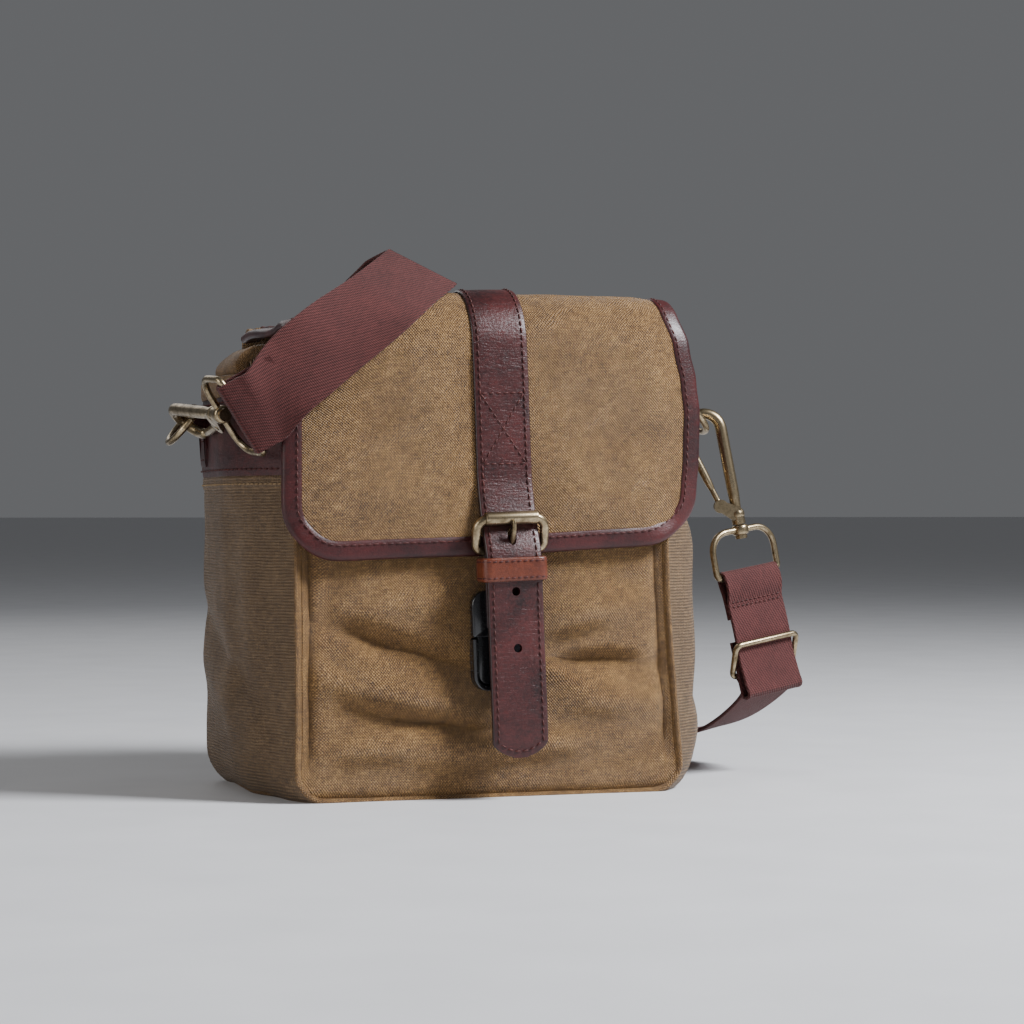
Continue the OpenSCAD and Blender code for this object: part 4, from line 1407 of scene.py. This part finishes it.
# Webbing as pairs of points on its two edges
FRONT_RUN = [
    ((-123.7, -68.5, 207.7), (-103.2, -61, 177.6)),
    ((-112, -67.5, 219), (-89, -70, 189)),
    ((-95, -65, 236), (-66, -69.5, 207)),
    ((-71, -50, 253), (-40, -68, 227)),
    ((-58, -38, 262.5), (-24, -59, 239.5)),
    ((-45, -26, 272), (-8, -45, 250.5)),
]
REAR_RUN = [
    ((-45, -26, 272), (-8, -45, 250.5)),
    ((-46.5, -19, 270.5), (-10, -36, 250.5)),
    ((-52, -1, 262), (-17, -4, 251)),
    ((-60, 22, 251.5), (-24, 24, 247)),
    ((-65, 44, 246), (-28, 46, 245)),
    ((-68, 68, 240), (-30, 69, 240)),
    ((-69, 77, 226), (-31, 78, 226)),
    ((-69, 80, 200), (-31, 81, 200)),
    ((-68, 83, 140), (-30, 83, 140)),
    ((-67, 83, 80), (-29, 83, 80)),
    ((-67, 85, 34), (-29, 85, 34)),
    ((-67, 91, 14), (-29, 91, 14)),
    ((-67, 102, 4), (-29, 106, 4)),
    ((-67, 106, 2), (-29, 141, 2)),
    ((-64, 106, 5), (-27, 141, 5)),
    ((-36, 104, 7), (-22, 142, 7)),
    ((10, 103, 3), (10, 141, 3)),
    ((70, 100, 3), (70, 138, 3)),
    ((112, 86, 6), (126, 122, 6)),
    ((136, 56, 14), (160, 86, 16)),
    ((150, 28, 24), (182, 48, 27)),
    ((156.5, -3.9, 42.6), (192.3, 7.7, 48.8)),
    ((154.4, -2.8, 52.4), (190.2, 8.8, 58.6)),
]
WEB_T = 1.7
WEB_HALF = 19.0


def band_frames(run, per_span):
    """Frames and half widths of a flat band through pairs of edge points."""
    left = spline([a for a, _ in run], per_span)
    right = spline([b for _, b in run], per_span)
    out, halves = [], []
    for k in range(len(left)):
        lo, hi = max(k - 1, 0), min(k + 1, len(left) - 1)
        across = right[k] - left[k]
        along = (left[hi] + right[hi]) - (left[lo] + right[lo])
        out.append(((left[k] + right[k]) / 2, unit(across), unit(across.cross(along))))
        halves.append(across.length / 2)
    return out, halves


def web_ring(half, t=WEB_T):
    """Webbing's section: flat with fuller woven edges."""
    top = [(half - 0.1, 0.25 * t), (half - 0.5, 0.56 * t), (half - 1.6, 0.58 * t), (half - 2.6, 0.5 * t)]
    flat = [(half * (1 - 2 * k / 10), 0.5 * t) for k in range(1, 10)]
    upper = top + [q for q in flat if abs(q[0]) < half - 3] + [(-a, b) for a, b in reversed(top)]
    return upper + [(-a, -b) for a, b in upper]


def web_piece(name, frames, halves):
    """Painted webbing and its length in metres."""
    length = sum((b[0] - a[0]).length for a, b in zip(frames, frames[1:]))
    obj = sweep(name, frames, lambda k: web_ring(min(halves[k], WEB_HALF + 0.6)))
    paint(obj, WEBBING)
    return obj, round(length * MM, 3)


def bar_line(bar_dir, axis):
    """The eye's own bar direction, square to its axis."""
    return square_to(Vector(bar_dir), unit(axis))


def chain_frame(bar, axis, bar_dir, run):
    """Origin, across, normal (towards the front) and run of the webbing at an eye's bar."""
    x = bar_line(bar_dir, axis)
    z = square_to(Vector(run), x)
    y = z.cross(x)
    return Vector(bar), x, -y if y.y > 0 else y, z


LEFT_BAR, LEFT_AXIS, LEFT_BAR_DIR = (-121.5, -62, 185), (-0.248, 0.965, 0.086), (0.588, 0, -0.809)
LEFT_RUN = (0.70, -0.22, 0.66)
RIGHT_BAR, RIGHT_AXIS, RIGHT_BAR_DIR = (163.5, 2.5, 107), (-0.170, 0.050, 0.984), (0.93, 0.30, 0.16)
EYE_LEN, HOOK_LEN, HOOK_OFF, HOOK_NOSE = 27.0, 52.0, 10.0, 9.5
GATE_FROM, GATE_TIP = (-9.0, 14.2), (-17.9, 43.3)
LEFT_SPINE, RIGHT_SPINE = (-0.78, 0, 0.62), (0.956, -0.292, 0)
RIGHT_RUN = (0.30, -0.05, -0.95)
EYE_WIRE_R = 1.75
WRAP_R = EYE_WIRE_R + 0.3 + WEB_T / 2


def shoulder_strap():
    """Webbing from the left eye over the flap to its fold, and from there behind the bag to the slider."""
    o, x, y, z = chain_frame(LEFT_BAR, LEFT_AXIS, LEFT_BAR_DIR, LEFT_RUN)
    centres = [o + z * 26 - y * 1.6, o + z * 17 - y * 1.9, o + z * 8 - y * 2.4]
    for a in (20, 55, 90, 125, 160):
        centres.append(o - y * (WRAP_R * cos(radians(a))) - z * (WRAP_R * sin(radians(a))))
    centres += [o + z * 7 + y * 3.2, o + z * 13 + y * 3.0]
    wrap = [(c - x * WEB_HALF, c + x * WEB_HALF) for c in centres]
    if wrap[0][0].z < wrap[0][1].z:
        wrap = [(b, a) for a, b in wrap]
    frames, halves = band_frames(wrap + FRONT_RUN[1:], 10)
    front, front_length = web_piece("webbing_front_run", frames, halves)
    place(front, None, "webbing", "webbing_front", "webbing_end_left")
    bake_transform(front)
    frames, halves = band_frames(REAR_RUN, 10)
    rear, rear_length = web_piece("webbing_rear_run", frames, halves)
    place(rear, None, "webbing", "webbing_back")
    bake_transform(rear)


def shoulder_end():
    """Webbing turned round the right eye's bar, sewn down, and turned again at the slider."""
    o, x, y, z = chain_frame(RIGHT_BAR, RIGHT_AXIS, RIGHT_BAR_DIR, RIGHT_RUN)
    path = [(-1.0, 22), (-1.1, 15), (-1.5, 9), (-2.4, 4)]
    path += [(-WRAP_R * cos(radians(a)), -WRAP_R * sin(radians(a))) for a in (10, 50, 90, 130, 170)]
    path += [(3.6, 4.5), (2.9, 9.0), (1.2, 13.2), (1.1, 17), (1.5, 26), (1.4, 36), (0.9, 44), (1.7, 52)]
    path += [(2.4, 58)]
    path += [(0.2 + 3.2 * cos(radians(a)), 61 + 3.2 * sin(radians(a))) for a in (20, 60, 100, 140)]
    path += [(-2.8, 56), (-2.6, 50), (-3.0, 44), (-3.1, 34)]
    pts = resample(spline([o + y * a + z * b for a, b in path], 5), 1.5)
    obj, length = web_piece("webbing_end_right_folded", turned_frames(pts, x), [WEB_HALF] * len(pts))
    place(obj, "bag", "webbing", "webbing_end_right")
    lines = [[(o + x * mix(-17, 17, k / 8) + z * t + y * 2.2, y) for k in range(9)] for t in (13.2, 15.6)]
    stitches("webbing_end_right_stitches", lines, "bag", pitch=3.0, length=2.2, r=0.35)


# ---- Brass hardware with rounded corners ----

def round_path(corners, radii, steps=6):
    """Closed path through corner points, each turned at its own radius."""
    out = []
    n = len(corners)
    for k in range(n):
        p, a, b = Vector(corners[k]), Vector(corners[k - 1]), Vector(corners[(k + 1) % n])
        u, v = unit(a - p), unit(b - p)
        half = u.angle(v) / 2
        cut = min(radii[k] / tan(half), (a - p).length * 0.49, (b - p).length * 0.49)
        r = cut * tan(half)
        mid = unit(u + v)
        centre = p + mid * (r / sin(half))
        e0, e1 = p + u * cut - centre, p + v * cut - centre
        for i in range(steps + 1):
            out.append(centre + unit(e0.slerp(e1, i / steps, e0)) * r)
    return out


def lathe(name, at, axis, profile, sides=28):
    """Turned piece: (radius, height) pairs about an axis."""
    z = unit(axis)
    x = unit(z.cross(Vector((0.3, 0.5, 0.81))))
    y = z.cross(x)
    at = Vector(at)
    rings = [[at + z * h + x * a + y * b for a, b in oval(r, r, sides)] for r, h in profile]
    return loft(name, rings, sharp=50)


def brass_part(obj, body, *nodes):
    return place(paint(obj, BRASS), body, "brass", *nodes)


def wire(name, path, r, body, *nodes):
    """Closed loop of round brass wire."""
    return brass_part(tube(name, path, r, closed=True, sides=14), body, *nodes)


def swivel(side, direction):
    """Origin of an eye's swivel, a direction square to its axis, and the axis."""
    bar, axis = (RIGHT_BAR, RIGHT_AXIS) if side > 0 else (LEFT_BAR, LEFT_AXIS)
    z = unit(axis)
    return Vector(bar) + z * EYE_LEN, bar_line(direction, axis), z


def swivel_eye(side):
    """Loop of round wire with a turned collar, where the hook swivels."""
    name = side_name(side)
    s, x, z = swivel(side, RIGHT_BAR_DIR if side > 0 else LEFT_BAR_DIR)
    half = WEB_HALF + 2.2
    corners = [s + x * half - z * 3, s + x * half - z * 27, s - x * half - z * 27, s - x * half - z * 3]
    path = round_path(corners, [11, 3.2, 3.2, 11], 8)
    wire(f"eye_{name}_wire", path, EYE_WIRE_R, f"eye_{name}", f"swivel_eye_{name}")
    profile = [(2.2, -5.9), (3.6, -5.8), (4.3, -5.2), (4.5, -4.2), (4.5, -1.9), (4.2, -0.9), (3.4, -0.4),
               (2.2, -0.4)]
    brass_part(lathe(f"eye_{name}_collar", s, z, profile), f"eye_{name}")


def hook_spine(side):
    """The hook's forged spine and nose, and its gate's sleeve, fuller than plain bars."""
    name = side_name(side)
    s, x, z = swivel(side, RIGHT_SPINE if side > 0 else LEFT_SPINE)
    path = [s + x * mix(0, HOOK_NOSE - HOOK_OFF, t / 14) + z * mix(6, HOOK_LEN, t / 14) for t in range(14)]
    path += [s + x * (HOOK_NOSE * cos(radians(a)) - HOOK_OFF) + z * (HOOK_LEN + HOOK_NOSE * sin(radians(a)))
             for a in range(0, 196, 13)]
    last = len(path) - 1
    radii = [2.5 + 0.65 * step(k, 0, 4) - 0.5 * step(k, 12, last - 1) for k in range(len(path))]
    brass_part(tube(f"hook_{name}_spine", path, radii, sides=16), f"hook_{name}")
    (x0, z0), (x1, z1) = GATE_FROM, GATE_TIP
    path = [s + x * mix(x0, x1, t) + z * mix(z0, z1, t) for t in (0.22, 0.30, 0.40, 0.6, 0.8, 0.97, 1)]
    gate = tube(f"gate_{name}_sleeve", path, [1.55, 1.9, 2.1, 2.15, 2.15, 2.1, 1.6], sides=14)
    brass_part(gate, f"gate_{name}")


def slider():
    """Wire loop that the webbing's end turns round."""
    o, x, y, z = chain_frame(RIGHT_BAR, RIGHT_AXIS, RIGHT_BAR_DIR, RIGHT_RUN)
    half, off, at = WEB_HALF + 2.2, WEB_T + 0.3 + 1.5, 44
    front, back = off + 0.6, -(off + 1.2)
    corners = [o + x * side + y * out + z * run for side, out, run in
               ((-half, front, at - 8), (half, front, at - 8), (half, back, at + 8), (-half, back, at + 8))]
    wire("strap_slider_wire", round_path(corners, [3.4] * 4), 1.6, "slider", "strap_slider")


def buckle():
    """Roller buckle: a round-cornered frame, its roller and a tapered prong."""
    half, heel, top = 17.2, (-69, 121.5), (-74.2, 137)
    corners = [leaning(-half, *top), leaning(half, *top), leaning(half, *heel), leaning(-half, *heel)]
    wire("buckle_frame_wire", round_path(corners, [6.0, 6.0, 4.0, 4.0], 8), 2.3, "buckle", "buckle_frame")
    end = [(2.5, -13.2), (3.0, -13.2), (3.25, -12.9), (3.35, -12.3)]
    profile = end + [(3.35, 0)] + [(r, -h) for r, h in reversed(end)]
    roller = lathe("buckle_roller_tube", leaning(0, *top), LEAN_ACROSS, profile, 36)
    brass_part(roller, "roller", "buckle_roller")
    path = [(-70.5, 122.0), (-74.0, 125.2), (-77.0, 129), (-78.6, 132), (-79.0, 134.2), (-78.9, 135.6)]
    path = spline([leaning(0, y, z) for y, z in path], 5)
    last = len(path) - 1
    prong = tube("buckle_prong_wire", path, [mix(1.45, 0.95, k / last) for k in range(last)] + [0.5])
    end = [(2.0, -2.3), (2.9, -2.3), (3.2, -1.9)]
    profile = end + [(3.25, 0)] + [(r, -h) for r, h in reversed(end)]
    knuckle = lathe("buckle_prong_knuckle", leaning(0, *heel), LEAN_ACROSS, profile)
    for piece in (prong, knuckle):
        brass_part(piece, "prong")
    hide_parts("buckle_prong")


def ring_tab(side, ring, name, half):
    """Leather tab folded over a D-ring's bar and sewn to the side patch."""
    face = SIDE_X + 1.7
    x = abs(ring[0])
    z = ring[2]
    bend = 3.9
    outer = [(face - 0.4, 163), (face + 2.6, 163.2), (face + 3.0, 170), (face + 3.4, z - 12),
             (mix(face + 3.4, x + bend, 0.6), z - 5)]
    arc = [(x + bend * cos(radians(a)), z + bend * sin(radians(a))) for a in range(-15, 196, 21)]
    inner = [(min(x - 3.6, face + 1.0), z - 5), (face - 0.4, z - 12), (face - 0.4, 170)]
    shape = [Vector((a, b, 0)) for a, b in outer + arc + inner]
    shape = resample(spline(shape + [shape[0]], 4)[:-1], 1.6, closed=True)
    middle = sum(shape, Vector()) / len(shape)
    rings = []
    end = [(-half, 0.8), (-half + 0.15, 0.35), (-half + 0.7, 0.0), (-half + 4, 0)]
    for y, shrink in end + [(0, 0)] + [(-y, shrink) for y, shrink in reversed(end)]:
        ring_pts = []
        for q in shape:
            w = q + (middle - q).normalized() * shrink
            ring_pts.append(Vector((side * w.x, ring[1] + y, w.y)))
        rings.append(ring_pts if side > 0 else list(reversed(ring_pts)))
    obj = loft(f"ring_tab_{name}_leather", rings, sharp=50)
    place(paint(obj, LEATHER), "bag", "leather", f"ring_tab_{name}")
    lines = []
    for height in (166.5, 176.0):
        line = [Vector((side * (face + 2.95), ring[1] + (half - 2) * (k / 3 - 1), height)) for k in range(7)]
        lines.append([(p, (side, 0, 0)) for p in line])
    stitches(f"ring_tab_{name}_stitches", lines, "bag")


# ---- Build ----

SIDES = (-1, 1)

front_panel()
for side in SIDES:
    gusset(side)
back_panel()
base_panel()
liner()
divider(-34, "divider_left", "divider_l")
divider(34, "divider_right", "divider_r")
for side in SIDES:
    ear(side)
seam_welt()
for side in SIDES:
    side_patch(side)
flap()
hinge_canvas()
closure_strap()
keeper()
clip()
chape()
anchor_tab()
shoulder_strap()
for side in SIDES:
    swivel_eye(side)
for side in SIDES:
    hook_spine(side)
shoulder_end()
slider()
buckle()
ring_tab(-1, (-129.3, 36.3, 191.1), "left", 6.5)
ring_tab(1, (126.6, 9.3, 197.2), "right", 11.0)

for node in ("d_ring", "hook_body", "hook_gate", "gate_pin"):
    for side in SIDES:
        paint(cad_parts[f"{node}_{side_name(side)}"], BRASS)


# ---- Studio ----

floor_mesh = bpy.data.meshes.new("floor")
floor_mesh.from_pydata([(-60, -60, 0), (60, -60, 0), (60, 60, 0), (-60, 60, 0)], [], [(0, 1, 2, 3)])
floor = bpy.data.objects.new("floor", floor_mesh)
bpy.context.scene.collection.objects.link(floor)
pale = Paint("pale_floor")
tone = pale.noise(pale.coords(False), 60, 2.0)
paint(floor, pale.finish(pale.ramp(tone, [(0.3, (0.60, 0.60, 0.61)), (0.7, (0.64, 0.64, 0.65))]), 0.7))


BAG_MIDDLE = Vector((0, 0, 0.12))


def area_light(name, at, energy, size, colour=(1, 1, 1)):
    data = bpy.data.lights.new(name, "AREA")
    data.energy = energy
    data.size = size
    data.color = colour
    light = bpy.data.objects.new(name, data)
    light.location = at
    aim = BAG_MIDDLE - Vector(at)
    light.rotation_euler = aim.to_track_quat("-Z", "Y").to_euler()
    bpy.context.scene.collection.objects.link(light)


area_light("key", (0.95, -0.70, 1.15), 58, 0.40, (0.94, 0.96, 1.0))
area_light("fill", (-1.5, -0.5, 0.6), 9, 0.9, (1.0, 0.98, 0.96))
area_light("back", (-0.3, 1.5, 1.2), 4, 1.0)

world = bpy.data.worlds.new("studio")
world.use_nodes = True
world.node_tree.nodes["Background"].inputs[0].default_value = (0.88, 0.90, 0.94, 1)
world.node_tree.nodes["Background"].inputs[1].default_value = 0.15
bpy.context.scene.world = world
